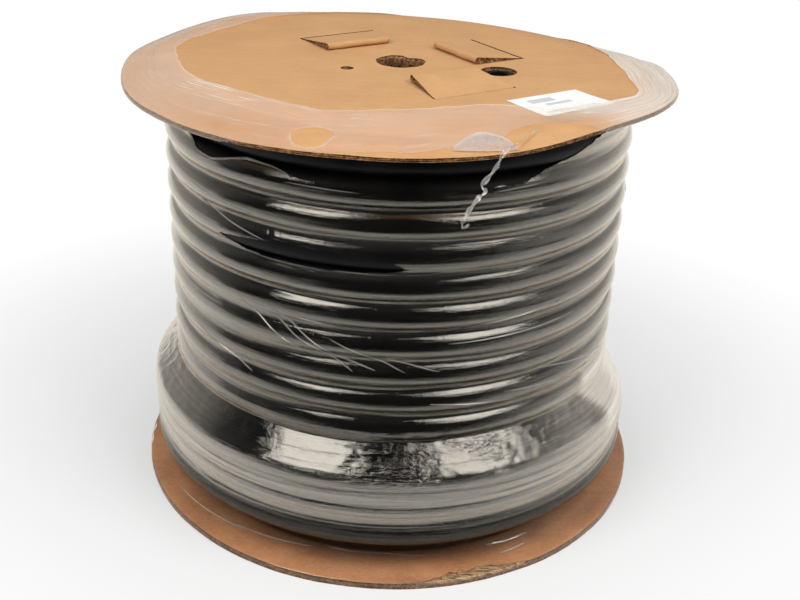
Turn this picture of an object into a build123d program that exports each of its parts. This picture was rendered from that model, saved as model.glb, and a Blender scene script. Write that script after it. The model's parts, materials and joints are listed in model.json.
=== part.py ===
from build123d import *
from math import acos, atan2, cos, degrees, floor, hypot, radians, sqrt
import os

# Reel of hydraulic hose, standing on its end, in millimetres.
# The origin is the centre of the underside, and +Z is the reel's axis.
# Angles are about +Z from +X.

# Reel of corrugated board
FLANGE_D = 550.0
BOARD = 7.0
INSIDE_WIDTH = 431.0
CORE_OD = 262.0
ARBOR_D = 50.0
PIN_D = 13.0
PIN_RADIUS = 62.0
PIN_ANGLE = -147.5
HOSE_HOLE_PLAY = 3.3
HOSE_HOLE_INSET = 30.0
HOSE_HOLE_ANGLE = -15.0

# Tongues of the core, pushed through the flanges and folded inwards
TONGUE_ANGLES = (123.5, 33.5, -56.5)
TONGUE_SETBACKS = (3.0, 11.0, 3.0)
TONGUE_TAPERS = ((16.0, 0.0), (0.0, 16.0), (12.0, 0.0))
TONGUE_WIDTH = 90.0
TONGUE_BOARD = 5.0
TONGUE_LENGTH = 60.0
CREASE_HEIGHT = 3.0
CREASE_CHAMFER = 1.5
SPRING_BACK = 3.5
PRESSED_BOARD = 3.0
PRESSED_TAPER = (0.0, 0.0)
SLOT_PLAY = 1.0
SLOT_OUTER_PLAY = 2.0

# Hose
HOSE_OD = 29.4
HOSE_BORE = 19.0
OUTER_TURNS = 3
OUTER_FIRST = 1
OUTER_START_ANGLE = 120.0
OUTER_END_ANGLE = -27.0
RIM_MARGIN = 10.0
VALLEY_TRIM = 30.0
TAIL_BEND = 240.0
TAIL_INSET = 4.0
TAIL_PLAY = 2.0

# Stretch film and label
FILM = 0.6
FILM_LAP = 43.0
FILM_HEM = 1.5
FILM_WRAP = 35.0
FILM_SKIP = 1
FILM_TUCK = 12.0
LABEL_LENGTH = 80.0
LABEL_WIDTH = 54.0
LABEL_THICK = 0.2
LABEL_SHIFT = -6.0
LABEL_ANGLE = -41.4
LABEL_TURN = 35.0

# Gap between pieces that lie against each other on curved faces
FIT = 0.3

FLANGE_R = FLANGE_D / 2
CORE_R = CORE_OD / 2
CORE_BORE_R = CORE_R - BOARD
HOSE_R = HOSE_OD / 2
HOSE_HOLE_RADIUS = CORE_R - HOSE_HOLE_INSET
OUTER_SPAN = (OUTER_END_ANGLE - OUTER_START_ANGLE) % 360
FILM_EDGE_R = FLANGE_R - FILM_LAP
TOP_INSIDE = BOARD + INSIDE_WIDTH
TOP_FACE = TOP_INSIDE + BOARD
COIL_BORE_R = CORE_R + FIT
LAYER_BUILD = HOSE_OD * sqrt(3) / 2
LAYERS = floor((FLANGE_R - RIM_MARGIN - COIL_BORE_R - HOSE_OD) / LAYER_BUILD)
TURNS = floor((INSIDE_WIDTH - 2 * FIT) / HOSE_OD - 0.5)


def turn_centre(layer, turn):
    """Radius and height of one turn: each layer lies in the valleys of the layer under it."""
    radius = COIL_BORE_R + HOSE_R + layer * LAYER_BUILD
    height = BOARD + FIT + HOSE_R + (turn + layer % 2 / 2) * HOSE_OD
    return (radius, height)


def outer_turns(count):
    """Turns of the part-wound layer, near the bottom flange."""
    return [turn_centre(LAYERS, OUTER_FIRST + turn) for turn in range(count)]


def turns_below():
    """Turns of the last full layer under the part-wound layer."""
    turns = [turn_centre(LAYERS - 1, turn) for turn in range(TURNS)]
    return [turn for turn in turns if turn[1] < outer_turns(OUTER_TURNS)[0][1]]


def turns_above(count):
    """Turns of the last full layer above the part-wound layer."""
    turns = [turn_centre(LAYERS - 1, turn) for turn in range(TURNS)]
    return [turn for turn in turns if turn[1] > outer_turns(count)[-1][1]]


def exposed_turns(count):
    """Turns that show on the coil, from the bore along the bottom, up the outside and back."""
    bottom = [turn_centre(layer, 0) for layer in range(LAYERS - 1)]
    top = [turn_centre(layer, TURNS - 1) for layer in reversed(range(LAYERS - 1))]
    return bottom + turns_below() + outer_turns(count) + turns_above(count) + top


def direction(start, end):
    """Angle of the line from one turn's centre to another's, in degrees."""
    return degrees(atan2(end[1] - start[1], end[0] - start[0]))


def coil_section(count):
    """Section of the coil: an arc for each turn that shows, with narrow flats in the valleys."""
    turns = exposed_turns(count)
    bore_side = 180
    arcs = []
    for index, centre in enumerate(turns):
        first = index == 0
        last = index == len(turns) - 1
        start = bore_side if first else direction(centre, turns[index - 1]) + VALLEY_TRIM
        end = bore_side if last else direction(centre, turns[index + 1]) - VALLEY_TRIM
        arcs.append(CenterArc(centre, HOSE_R, start, (end - start) % 360))
    flats = [Line(arc @ 1, following @ 0) for arc, following in zip(arcs, arcs[1:] + arcs[:1])]
    return make_face(Curve() + arcs + flats)


def turned(section, start, span):
    """Part turn about the reel's axis of a section drawn in radius and height."""
    return Rot(0, 0, start) * revolve(Plane.XZ * section, Axis.Z, span)


def wound(section):
    """Solid of revolution whose last outer turn goes only part of the way round."""
    long_way = turned(section(OUTER_TURNS), OUTER_START_ANGLE, OUTER_SPAN)
    return long_way + turned(section(OUTER_TURNS - 1), OUTER_END_ANGLE, 360 - OUTER_SPAN)


def tail(diameter, reach):
    """Bend of the hose's inner end, from the hose hole down and out to the radius reach."""
    centre = HOSE_HOLE_RADIUS + TAIL_BEND
    height = TOP_FACE - TAIL_INSET
    angle = degrees(acos((centre - reach) / TAIL_BEND))
    section = Pos(HOSE_HOLE_RADIUS, 0, height) * Circle(diameter / 2)
    bend = revolve(section, Axis((centre, 0, height), (0, -1, 0)), angle)
    return Rot(0, 0, HOSE_HOLE_ANGLE) * bend


def at_tongues(make):
    """Solids made for the outer face and the taper of each tongue, turned to its place."""
    places = zip(TONGUE_ANGLES, TONGUE_SETBACKS, TONGUE_TAPERS)
    return [Rot(0, 0, angle) * make(CORE_R - setback, taper) for angle, setback, taper in places]


def tongue(face, taper, *outline):
    """Tongue of the core, from an outline in distance from the axis and height."""
    half = TONGUE_WIDTH / 2
    free_end = face - TONGUE_LENGTH
    crease = face - TONGUE_BOARD
    sides = ((face, -half), (face, half), (crease, half), (free_end, half - taper[1]))
    plan = make_face(Polyline(*sides, (free_end, taper[0] - half), (crease, -half), close=True))
    section = Plane.XZ * make_face(Polyline(*outline, close=True))
    return extrude(section, half, both=True) & extrude(plan, 2 * TOP_FACE)


def folded_tongue(face, taper):
    """Tongue through the top flange, folded inwards and sprung back a little."""
    inner = face - TONGUE_BOARD
    free_end = face - TONGUE_LENGTH
    crease = TOP_FACE + CREASE_HEIGHT
    return tongue(
        face,
        taper,
        (face, TOP_INSIDE),
        (face, crease - CREASE_CHAMFER),
        (face - CREASE_CHAMFER, crease),
        (free_end, TOP_FACE + SPRING_BACK + TONGUE_BOARD),
        (free_end, TOP_FACE + SPRING_BACK),
        (inner, TOP_FACE),
        (inner, TOP_INSIDE),
    )


def pressed_tongue(face, taper):
    """Tongue through the bottom flange, folded inwards and pressed flush with its underside."""
    inner = face - TONGUE_BOARD
    free_end = face - TONGUE_LENGTH
    return tongue(
        face,
        PRESSED_TAPER,
        (face, BOARD),
        (face, 0),
        (free_end, 0),
        (free_end, PRESSED_BOARD),
        (inner, PRESSED_BOARD),
        (inner, BOARD),
    )


def core_tube():
    """Core of rolled board, with its tongues and the opening that lets the hose's end inside."""
    tube = Pos(0, 0, BOARD) * extrude(Circle(CORE_R) - Circle(CORE_BORE_R), INSIDE_WIDTH)
    opening = tail(HOSE_OD + 2 * TAIL_PLAY, COIL_BORE_R + HOSE_R)
    return tube - opening + at_tongues(folded_tongue) + at_tongues(pressed_tongue)


def slot(face, inner_edge, depth):
    """Cut for a tongue, from the given distance out to behind the tongue's outer face."""
    length = face + SLOT_OUTER_PLAY - inner_edge
    return Pos(inner_edge + length / 2, 0, depth / 2) * Box(length, TONGUE_WIDTH + 2 * SLOT_PLAY, depth)


def through_slot(face, taper):
    """Slot that a tongue goes through."""
    return slot(face, face - TONGUE_BOARD - SLOT_PLAY, BOARD)


def pressed_bed(face, taper):
    """Bed that a tongue is pressed into."""
    return slot(face, face - TONGUE_LENGTH - SLOT_PLAY, PRESSED_BOARD)


def flange():
    """Die-cut disc of board with its arbor and pin holes and tongue slots, on the plane z = 0."""
    disc = Circle(FLANGE_R) - Circle(ARBOR_D / 2)
    disc -= Rot(0, 0, PIN_ANGLE) * Pos(PIN_RADIUS, 0) * Circle(PIN_D / 2)
    return extrude(disc, BOARD) - at_tongues(through_slot)


def top_flange():
    """Upper flange, with the hole that the hose's inner end comes up to."""
    hole = Rot(0, 0, HOSE_HOLE_ANGLE) * Pos(HOSE_HOLE_RADIUS, 0) * Circle(HOSE_R + HOSE_HOLE_PLAY)
    return Pos(0, 0, TOP_INSIDE) * (flange() - extrude(hole, BOARD))


def bottom_flange():
    """Lower flange, with the beds that its tongues are pressed into."""
    return flange() - at_tongues(pressed_bed)


def hose_coil():
    """Coil of the hose as a turned solid, whose last turn ends on its outside."""
    return wound(coil_section)


def hose_inner_end():
    """Inner end of the same hose, led from the coil through the core's wall to the hose hole."""
    bend = tail(HOSE_OD, COIL_BORE_R + HOSE_R) - tail(HOSE_BORE, CORE_BORE_R)
    return bend & extrude(Circle(CORE_R), TOP_FACE)


def touch_angle(centre, radius, point):
    """Angle on a turn where a line to a point above it leaves the turn's outside."""
    across = point[0] - centre[0]
    up = point[1] - centre[1]
    return degrees(atan2(up, across) - acos(radius / hypot(across, up)))


def film_line(gap, count):
    """Film at a distance from the pieces under it, from its bottom hem to its lap on the top."""
    radius = HOSE_R + gap
    rim = FLANGE_R + gap
    lowest = turns_below()[0]
    outer = outer_turns(count)
    upper = turns_above(count)[FILM_SKIP:]
    under = direction(lowest, outer[0]) - 90
    landing = (upper[0][0] + radius, upper[0][1])
    slope = touch_angle(outer[-1], radius, landing)
    ends = {turn: (-FILM_WRAP, FILM_WRAP) for turn in outer + upper}
    ends[outer[-1]] = (-FILM_WRAP, slope)
    ends[outer[0]] = (under, FILM_WRAP)
    ends[upper[0]] = (0, FILM_WRAP)
    ends[upper[-1]] = (-FILM_WRAP, 0)
    arcs = [CenterArc(turn, radius, start, end - start) for turn, (start, end) in ends.items()]
    bridges = [Line(arc @ 1, following @ 0) for arc, following in zip(arcs, arcs[1:])]
    heel = CenterArc(lowest, radius, under, 1) @ 0
    toe = (lowest[0] + HOSE_R * cos(radians(under)) + gap, BOARD + gap)
    foot = Polyline((rim, FILM_HEM), (rim, BOARD + gap), toe, heel, arcs[0] @ 0)
    head = Polyline(
        arcs[-1] @ 1,
        (landing[0] + FILM_TUCK, TOP_INSIDE - gap),
        (rim, TOP_INSIDE - gap),
        (rim, TOP_FACE + gap),
        (FILM_EDGE_R, TOP_FACE + gap),
    )
    return Curve() + [foot, head] + arcs + bridges


def film_section(count):
    """Section of the film over the given number of outer turns."""
    inside = film_line(FIT, count)
    outside = film_line(FIT + FILM, count)
    hem = Line((FLANGE_R + FIT, FILM_HEM), (FLANGE_R + FIT + FILM, FILM_HEM))
    lap = Line((FILM_EDGE_R, TOP_FACE + FIT), (FILM_EDGE_R, TOP_FACE + FIT + FILM))
    return make_face(inside + outside + [hem, lap])


def stretch_film():
    """Film round the coil and over the rims of both flanges, drawn in between the turns."""
    return wound(film_section)


def label():
    """Paper label on the top flange, between the tongues' slots and the rim."""
    sheet = extrude(Rectangle(LABEL_LENGTH, LABEL_WIDTH), LABEL_THICK)
    turned_sheet = Rot(0, 0, LABEL_TURN - LABEL_ANGLE) * sheet
    radius = (CORE_R + FLANGE_R) / 2 + LABEL_SHIFT
    return Rot(0, 0, LABEL_ANGLE) * Pos(radius, 0, TOP_FACE) * turned_sheet


PIECES = {
    "top_flange": top_flange(),
    "bottom_flange": bottom_flange(),
    "core_tube": core_tube(),
    "hose_coil": hose_coil(),
    "hose_inner_end": hose_inner_end(),
    "stretch_film": stretch_film(),
    "label": label(),
}

os.makedirs("parts", exist_ok=True)
for name, piece in PIECES.items():
    export_step(piece, f"parts/{name}.step")
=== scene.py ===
import functools
import json
import math
import bmesh
import bpy
import numpy as np
from mathutils import Matrix, Vector
from mathutils.geometry import delaunay_2d_cdt


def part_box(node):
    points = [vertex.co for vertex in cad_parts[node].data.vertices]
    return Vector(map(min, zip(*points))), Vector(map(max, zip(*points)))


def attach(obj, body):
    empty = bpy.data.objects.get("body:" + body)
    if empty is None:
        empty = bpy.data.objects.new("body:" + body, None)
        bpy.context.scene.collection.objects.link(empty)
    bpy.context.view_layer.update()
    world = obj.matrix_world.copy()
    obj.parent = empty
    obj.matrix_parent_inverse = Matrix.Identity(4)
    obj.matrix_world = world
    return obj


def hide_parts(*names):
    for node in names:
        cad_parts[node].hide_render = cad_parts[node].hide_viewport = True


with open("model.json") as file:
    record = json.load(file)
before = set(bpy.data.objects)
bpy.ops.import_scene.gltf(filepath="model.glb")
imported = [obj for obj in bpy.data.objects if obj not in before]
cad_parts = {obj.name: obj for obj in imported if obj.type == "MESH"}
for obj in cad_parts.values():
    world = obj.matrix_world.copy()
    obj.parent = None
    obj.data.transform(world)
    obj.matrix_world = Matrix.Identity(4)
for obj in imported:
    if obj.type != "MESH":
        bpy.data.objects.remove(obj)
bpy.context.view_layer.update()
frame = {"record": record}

MM = 0.001
UP = np.array([0, 0, 1.0])
HALF_MM_IN_METRE = 2000


def cad_reach(node, axis):
    """Highest place of a CAD node along an axis, to half a millimetre because its round faces are faceted."""
    return round(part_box(node)[1][axis] * HALF_MM_IN_METRE) / HALF_MM_IN_METRE


def bore_radius(name):
    """Radius of a bore that the record states as a mount."""
    mounts = {mount["name"]: mount for mount in frame["record"]["mounts"]}
    return mounts[name]["dims"]["r_mm"] / 1000


# Sizes in metres, as in the CAD model. The reel's axis is Z, and angles are in degrees about it from +X.
FLANGE_R = cad_reach("top_flange", 0)
BOARD = cad_reach("bottom_flange", 2)
TOP_FACE = cad_reach("top_flange", 2)
TOP_INSIDE = TOP_FACE - BOARD
CORE_R = cad_reach("core_tube", 0)
CORE_BORE_R = CORE_R - BOARD
ARBOR_R = bore_radius("arbor")
PIN_R = bore_radius("drive_pin_top")
PIN_RADIUS = 0.062
PIN_ANGLE = -147.5
HOSE_HOLE_R = 0.018
HOSE_HOLE_RADIUS = 0.101
HOSE_HOLE_ANGLE = -15.0

# The core's tongues: where each stands, how far out its face is, and how its two sides taper
TONGUE_ANGLES = (123.5, 33.5, -56.5)
TONGUE_FACES = (0.128, 0.120, 0.128)
TONGUE_TAPERS = ((0.016, 0.0), (0.0, 0.016), (0.012, 0.007))
TONGUE_HALF = 0.045
TONGUE_REACH = 0.060
TONGUE_WALL = 0.005
SLOT_HALF = 0.046
SLOT_INNER = 0.006
SLOT_OUTER = 0.0025

# Sizes of the hose and how it is wound
HOSE_R = 0.0147
HOSE_BORE_R = 0.0095
PITCH = 2 * HOSE_R
LAYER_RADII = (0.1460, 0.1715, 0.1969, 0.2224, 0.24785)
EVEN_BASE = 0.0220
ODD_BASE = EVEN_BASE + HOSE_R
TURNS = 14
OUTER_TURNS = 3
HIDDEN_TURNS = 2 * TURNS
HIDDEN_RINGS = 48
HIDDEN_SIDES = 8
SHOWN_RINGS = 120
SHOWN_SIDES = 20
CROSS_START = 120.0
CROSS_SHARE = 1 / 6
OUTER_END = -32.0
TAIL_BEND = 0.240
TAIL_SWEEP = 33.0
TAIL_TOP = cad_reach("hose_inner_end", 2)
TAIL_RINGS = 30
TAIL_SIDES = 32

# Height of the top flange's rim over its flat middle, in millimetres, by angle
RIM_WARP = (
    (-154, -6), (-143, -5), (-120, -5.5), (-105, -4.5), (-90, -4.5), (-75, -3.5), (-66, -1), (-57, 4),
    (-51, 8), (-42, 7.5), (-31, 5), (-21, 2.5), (-10, -2), (0, -3), (14, -4), (20, -9), (26, -13.5),
    (32, -17.5), (50, -20), (62, -20), (74, -16.5), (86, -14.5), (98, -10), (110, -7), (122, -1),
    (134, 2.5), (146, 0), (158, -3), (170, -2), (182, -1), (194, -6),
)
WARP_START = 0.195
WARP_POWER = 1.6
CRUSH = 0.0042
CRUSH_START = 0.250

# Cells of a noise table, and where a value from a table is averaged beside its angle
NOISE_CELLS = 256
BLUR = (-1.5, -0.75, 0, 0.75, 1.5)


def smooth(t):
    """Eased step from 0 to 1."""
    t = np.clip(t, 0, 1)
    return t * t * (3 - 2 * t)


def between(value, low, rise, high, fall):
    """Eased share that rises over a width from a lower bound and falls over another to an upper one."""
    return smooth((value - low) / rise) * smooth((high - value) / fall)


def signed(degrees):
    """Angle in degrees, from -180 to 180."""
    return (degrees + 180) % 360 - 180


def angle_of(points):
    """Angles of points about the reel's axis, in degrees."""
    return np.degrees(np.arctan2(points[:, 1], points[:, 0]))


def full_turn(count):
    """Angles of a ring of points, in radians."""
    return np.linspace(0, 2 * math.pi, count, endpoint=False)


def polar(radius, angle, height=None):
    """Point at a radius and an angle in degrees."""
    a = math.radians(angle)
    flat = (radius * math.cos(a), radius * math.sin(a))
    return flat if height is None else (*flat, height)


def turned(angle):
    """Function that turns a place, given outwards and sideways, to an angle in degrees."""
    c, s = polar(1.0, angle)
    return lambda out, aside, *height: (out * c - aside * s, out * s + aside * c, *height)


def by_angle(table, angle, spread=4.0):
    """Value from a table by angle in degrees, rounded off over a spread."""
    angles, values = zip(*table)
    return np.mean([np.interp(angle + d * spread, angles, values, period=360) for d in BLUR], axis=0)


@functools.lru_cache(maxsize=None)
def noise_table(seed):
    return np.random.default_rng(seed).uniform(-1, 1, (NOISE_CELLS, NOISE_CELLS))


def noise(u, v, seed, wrap=NOISE_CELLS):
    """Smooth noise from -1 to 1 on unit cells, repeating after wrap cells along u."""
    table = noise_table(seed)
    u, v = np.broadcast_arrays(u, v)
    iu, iv = np.floor(u).astype(int), np.floor(v).astype(int)
    fu, fv = smooth(u - iu), smooth(v - iv)
    here, following = iu % wrap % NOISE_CELLS, (iu + 1) % wrap % NOISE_CELLS
    columns = (iv % NOISE_CELLS, (iv + 1) % NOISE_CELLS)
    low, high = (table[here, c] * (1 - fu) + table[following, c] * fu for c in columns)
    return low * (1 - fv) + high * fv


def round_noise(share, cells, v, seed):
    """Noise round the reel in a whole number of cells, so that it closes on itself."""
    return noise(share * cells, v, seed, cells)


def flange_lift(radius, angle):
    """Lift of the warped top flange at a radius and an angle in degrees."""
    share = np.clip((radius - WARP_START) / (FLANGE_R - WARP_START), 0, 1.05)
    return by_angle(RIM_WARP, angle) * MM * share**WARP_POWER


def rim_crush(radius, angle):
    """How far the top flange is pressed thin along its rim."""
    uneven = 0.88 + 0.12 * noise(np.asarray(angle) / 9.0, 0.5, 13, 40)
    return CRUSH * smooth((radius - CRUSH_START) / (FLANGE_R - CRUSH_START)) * uneven


def top_surface(radius, angle):
    """Height of the top flange's upper face."""
    return TOP_FACE + flange_lift(radius, angle) - rim_crush(radius, angle)


# Mesh helpers

def piece(name, points, faces, corner_uv=None, slot=None, replaces=(), shadow=True):
    """Mesh object that rides on the reel. A single clear layer on a flange casts no shadow on it."""
    mesh = bpy.data.meshes.new(name)
    mesh.from_pydata(np.asarray(points, float).tolist(), [], [list(map(int, f)) for f in faces])
    if corner_uv is not None:
        layer = mesh.uv_layers.new(name="UVMap")
        layer.data.foreach_set("uv", np.asarray(corner_uv, np.float32).ravel())
    mesh.polygons.foreach_set("use_smooth", np.ones(len(mesh.polygons), bool))
    mesh.update()
    obj = bpy.data.objects.new(name, mesh)
    bpy.context.scene.collection.objects.link(obj)
    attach(obj, "root")
    obj.visible_shadow = shadow
    if replaces:
        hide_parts(*replaces)
    return obj


def grid_faces(rows, columns, wrap_rows=False, wrap_columns=False):
    """Quads of a grid of points, and the row and column of each quad's corners."""
    i = np.arange(rows if wrap_rows else rows - 1)
    j = np.arange(columns if wrap_columns else columns - 1)
    i, j = np.meshgrid(i, j, indexing="ij")
    corners = [(i, j), (i + 1, j), (i + 1, j + 1), (i, j + 1)]
    faces = np.stack([(a % rows) * columns + b % columns for a, b in corners], -1).reshape(-1, 4)
    places = np.stack([np.stack(c, -1) for c in corners], 2).reshape(-1, 2)
    return faces, places


class Shell:
    """Points and faces collected for one mesh, with a material number for each face."""

    def __init__(self):
        self.points, self.faces, self.numbers = [], [], []

    def add(self, points, faces, number=0):
        start = len(self.points)
        self.points += [tuple(p) for p in points]
        self.faces += [[int(k) + start for k in f] for f in faces]
        self.numbers += [number] * len(faces)

    def add_grid(self, points, **wraps):
        """Adds rows of points with the faces between them."""
        points = np.asarray(points)
        faces, _ = grid_faces(*points.shape[:2], **wraps)
        self.add(points.reshape(-1, 3), faces)

    def make(self, name, weld=1e-6, sharp=35.0, **kw):
        obj = piece(name, self.points, self.faces, **kw)
        obj.data.polygons.foreach_set("material_index", self.numbers)
        weld_mesh(obj.data, weld)
        obj.data.set_sharp_from_angle(angle=math.radians(sharp))
        return obj


def weld_mesh(mesh, distance):
    """Joins points that lie on each other and turns all faces outwards."""
    bm = bmesh.new()
    bm.from_mesh(mesh)
    bmesh.ops.remove_doubles(bm, verts=bm.verts, dist=distance)
    bmesh.ops.recalc_face_normals(bm, faces=bm.faces)
    bm.to_mesh(mesh)
    bm.free()


# Corrugated board

# Levels of a cut edge: share of the board's thickness from above, and the fluted wall that shows there
WALL_LEVELS = (
    (0.00, None), (0.08, None), (0.11, 0), (0.17, 0), (0.22, 0), (0.27, 0), (0.32, 0), (0.37, 0), (0.41, 0),
    (0.44, None), (0.54, None), (0.57, 1), (0.73, 1), (0.89, 1), (0.92, None), (1.00, None),
)
MIDDLE_LINER = 9
FLUTE_PITCH = (0.0078, 0.0062)
FLUTE_INSET = 0.0011
DISC_RINGS = (0.14, 0.268, 14)
RIM_SIDES = 720
ARBOR_SIDES = 72
PIN_SIDES = 32
HOSE_HOLE_SIDES = 48

# Tear of a liner: from which depth it bares the flutes, how deep they are, and where it ends in the board
TORN_FROM = 0.0015
TORN_DEPTH = 0.0007
TORN_MARGIN = 0.005
TORN_END = 0.42
TORN_SLOPE = 0.32

# Flaws of the board, each with its angle and half width in degrees and its depth in millimetres
TORN_FRONT = (-71, 9.5, 15.0)
TORN_LEFT = (-178, 2.5, 3.0)
ARBOR_TEAR = (62, 20.0, 9.0)
TOP_DENTS = ((-98, 5, 1.0), (-140, 3, 0.8))
BOTTOM_DENTS = ((-172, 1.6, 2.2), (-178, 1.0, 1.6), (-66, 6, 0.8))


def flute_inset(point, level, share):
    """How far the edge of the board steps in between its liners, where flutes run along X."""
    if level is None:
        return 0.0
    wave = math.sin(2 * math.pi * point[1] / FLUTE_PITCH[level] + 3 * share + 1.7 * level)
    return FLUTE_INSET * (0.9 + 0.75 * wave)


def loop_normals(loop):
    """Outward normals of a closed outline."""
    p = np.asarray(loop, float)
    along = np.roll(p, -1, 0) - np.roll(p, 1, 0)
    along /= np.linalg.norm(along, axis=1)[:, None] + 1e-12
    return np.stack([along[:, 1], -along[:, 0]], -1)


def circle(centre, radius, count, clockwise=False, wobble=None):
    """Round outline, with an optional change of radius by angle."""
    angles = -full_turn(count) if clockwise else full_turn(count)
    r = radius + (0 if wobble is None else wobble(np.degrees(angles)))
    return np.stack([centre[0] + r * np.cos(angles), centre[1] + r * np.sin(angles)], -1)


def slot_outline(angle, inner, outer, half, count=18):
    """Outline of a tongue's slot, clockwise."""
    corners = [(inner, -half), (inner, half), (outer, half), (outer, -half)]
    at = turned(angle)
    points = []
    for (n, t), (next_n, next_t) in zip(corners, corners[1:] + corners[:1]):
        steps = count if n == next_n else 2
        points += [at(n + (next_n - n) * k / steps, t + (next_t - t) * k / steps) for k in range(steps)]
    return np.array(points)


def outside_holes(points, triangles, holes):
    """Triangles whose middle lies in none of the holes."""
    corners = np.array([[tuple(points[k]) for k in t] for t in triangles])
    middle = corners.mean(1)
    keep = np.ones(len(triangles), bool)
    for hole in holes:
        a, b = np.asarray(hole), np.roll(hole, -1, 0)
        crosses = (a[None, :, 1] > middle[:, None, 1]) != (b[None, :, 1] > middle[:, None, 1])
        rise = np.where(b[:, 1] == a[:, 1], 1e-12, b[:, 1] - a[:, 1])
        at = a[None, :, 0] + (middle[:, None, 1] - a[None, :, 1]) * ((b - a)[:, 0] / rise)[None]
        keep &= (crosses & (middle[:, None, 0] < at)).sum(1) % 2 == 0
    return [t for t, k in zip(triangles, keep) if k]


def fill_outlines(loops, inner):
    """Triangles between outlines: the flat points, the triangles and where each outline point went."""
    flat = [Vector(p) for loop in loops for p in loop] + [Vector(p) for p in inner]
    edges, start = [], 0
    for loop in loops:
        edges += [(start + k, start + (k + 1) % len(loop)) for k in range(len(loop))]
        start += len(loop)
    found, _, triangles, origins, *_ = delaunay_2d_cdt(flat, edges, [], 1, 1e-7)
    place = {o: k for k, group in enumerate(origins) for o in group}
    return found, outside_holes(found, triangles, loops[1:]), place


def at_point(change, point):
    """Value at a point of a function of radius and angle, or 0 without one."""
    if change is None:
        return 0.0
    return float(change(math.hypot(point[0], point[1]), math.degrees(math.atan2(point[1], point[0]))))


def flange_mesh(name, loops, base, lift=None, crush=None, peel=None, **kw):
    """Board disc with holes: loops are its outlines, outside first. It can be warped, crushed and torn."""
    inner = np.array([polar(r, a + (k % 2)) for k, r in enumerate(np.linspace(*DISC_RINGS))
                      for a in range(0, 360, 2)])
    recess = np.zeros(len(loops[0]))
    if peel is not None:
        inner = inner[np.hypot(inner[:, 0], inner[:, 1]) < FLANGE_R - TORN_MARGIN - peel(inner)]
        recess = peel(loops[0])
    found, triangles, place = fill_outlines(loops, inner)
    warp, press = functools.partial(at_point, lift), functools.partial(at_point, crush)
    normals = [loop_normals(loop) for loop in loops]
    rim = {place[k]: k for k in range(len(loops[0]))}
    top = []
    for k, p in enumerate(found):
        x, y = p
        if k in rim:
            n = normals[0][rim[k]]
            x, y = x - n[0] * recess[rim[k]], y - n[1] * recess[rim[k]]
        top.append((x, y, base + BOARD + warp(p) - press(p)))
    bottom = [(p[0], p[1], base + warp(p)) for p in found]
    shell = Shell()
    shell.add(top, triangles)
    shell.add(bottom, [f[::-1] for f in triangles])
    for number, loop in enumerate(loops):
        torn = recess if number == 0 else np.zeros(len(loop))
        add_wall(shell, loop, normals[number], base, warp, press, torn)
    return shell.make(name, **kw)


def add_wall(shell, loop, normals, base, warp, press, recess):
    """Cut edge of the board along an outline, with its liners and flutes."""
    points = []
    for p, n, deepest in zip(loop, normals, recess):
        lifted, thickness = warp(p), BOARD - press(p)
        for depth, level in WALL_LEVELS:
            step = flute_inset(p, level, depth)
            z = base + thickness * (1 - depth) + lifted
            if deepest > 0:
                back = deepest * float(np.clip((TORN_END - depth) / TORN_SLOPE, 0, 1))
                step = max(step, back)
                z -= torn_relief(p, n, back, deepest)
            points.append((p[0] - n[0] * step, p[1] - n[1] * step, z))
    faces, places = grid_faces(len(loop), len(WALL_LEVELS), wrap_rows=True)
    rows, levels = places.reshape(-1, 4, 2)[:, 0].T
    torn = (recess[rows] > TORN_FROM) & (levels > 0) & (levels < MIDDLE_LINER)
    shell.add(points, faces[~torn], 1)
    shell.add(points, faces[torn], 2)


def torn_relief(point, normal, back, deepest):
    """Depth of the bared flutes under the torn liner."""
    if not TORN_FROM < deepest or not 0 < back < deepest:
        return 0.0
    x, y = point[0] - normal[0] * back, point[1] - normal[1] * back
    return TORN_DEPTH * (1 + math.sin(2 * math.pi * y / FLUTE_PITCH[0] + 1.5 * math.sin(x / 0.006)))


def arbor_wobble(angle):
    """Torn edge of the arbor hole: a flap stands in at the back."""
    middle, half, depth = ARBOR_TEAR
    ragged = 0.35 * np.sin(np.radians(angle * 7)) + 0.25 * np.sin(np.radians(angle * 13 + 40))
    return MM * (-depth * np.exp(-(signed(angle - middle) / half) ** 2) + ragged)


def rim_wobble(seed, dents):
    """Small wear and dents along a rim, as a change of its radius by angle."""
    def radius(angle):
        r = 0.35 * noise(angle / 4.0, 0.5, seed, 90) + 0.2 * noise(angle / 1.5, 7.5, seed, 240)
        for middle, half, depth in dents:
            r = r - depth * np.exp(-(signed(angle - middle) / half) ** 2)
        return MM * r
    return radius


def flange_loops(rim, hose_hole=False, arbor=None):
    """Outlines of a flange: its rim, and the holes and slots in it."""
    loops = [
        circle((0, 0), FLANGE_R, RIM_SIDES, wobble=rim),
        circle((0, 0), ARBOR_R, ARBOR_SIDES, clockwise=True, wobble=arbor),
        circle(polar(PIN_RADIUS, PIN_ANGLE), PIN_R, PIN_SIDES, clockwise=True),
    ]
    if hose_hole:
        middle = polar(HOSE_HOLE_RADIUS, HOSE_HOLE_ANGLE)
        loops.append(circle(middle, HOSE_HOLE_R, HOSE_HOLE_SIDES, clockwise=True))
    for angle, face in zip(TONGUE_ANGLES, TONGUE_FACES):
        loops.append(slot_outline(angle, face - SLOT_INNER, face + SLOT_OUTER, SLOT_HALF))
    return loops


def build_top_flange():
    loops = flange_loops(rim_wobble(11, TOP_DENTS), True, arbor_wobble)
    return flange_mesh("top_board", loops, TOP_INSIDE, flange_lift, rim_crush, slot="board",
                       replaces=["top_flange"])


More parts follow.
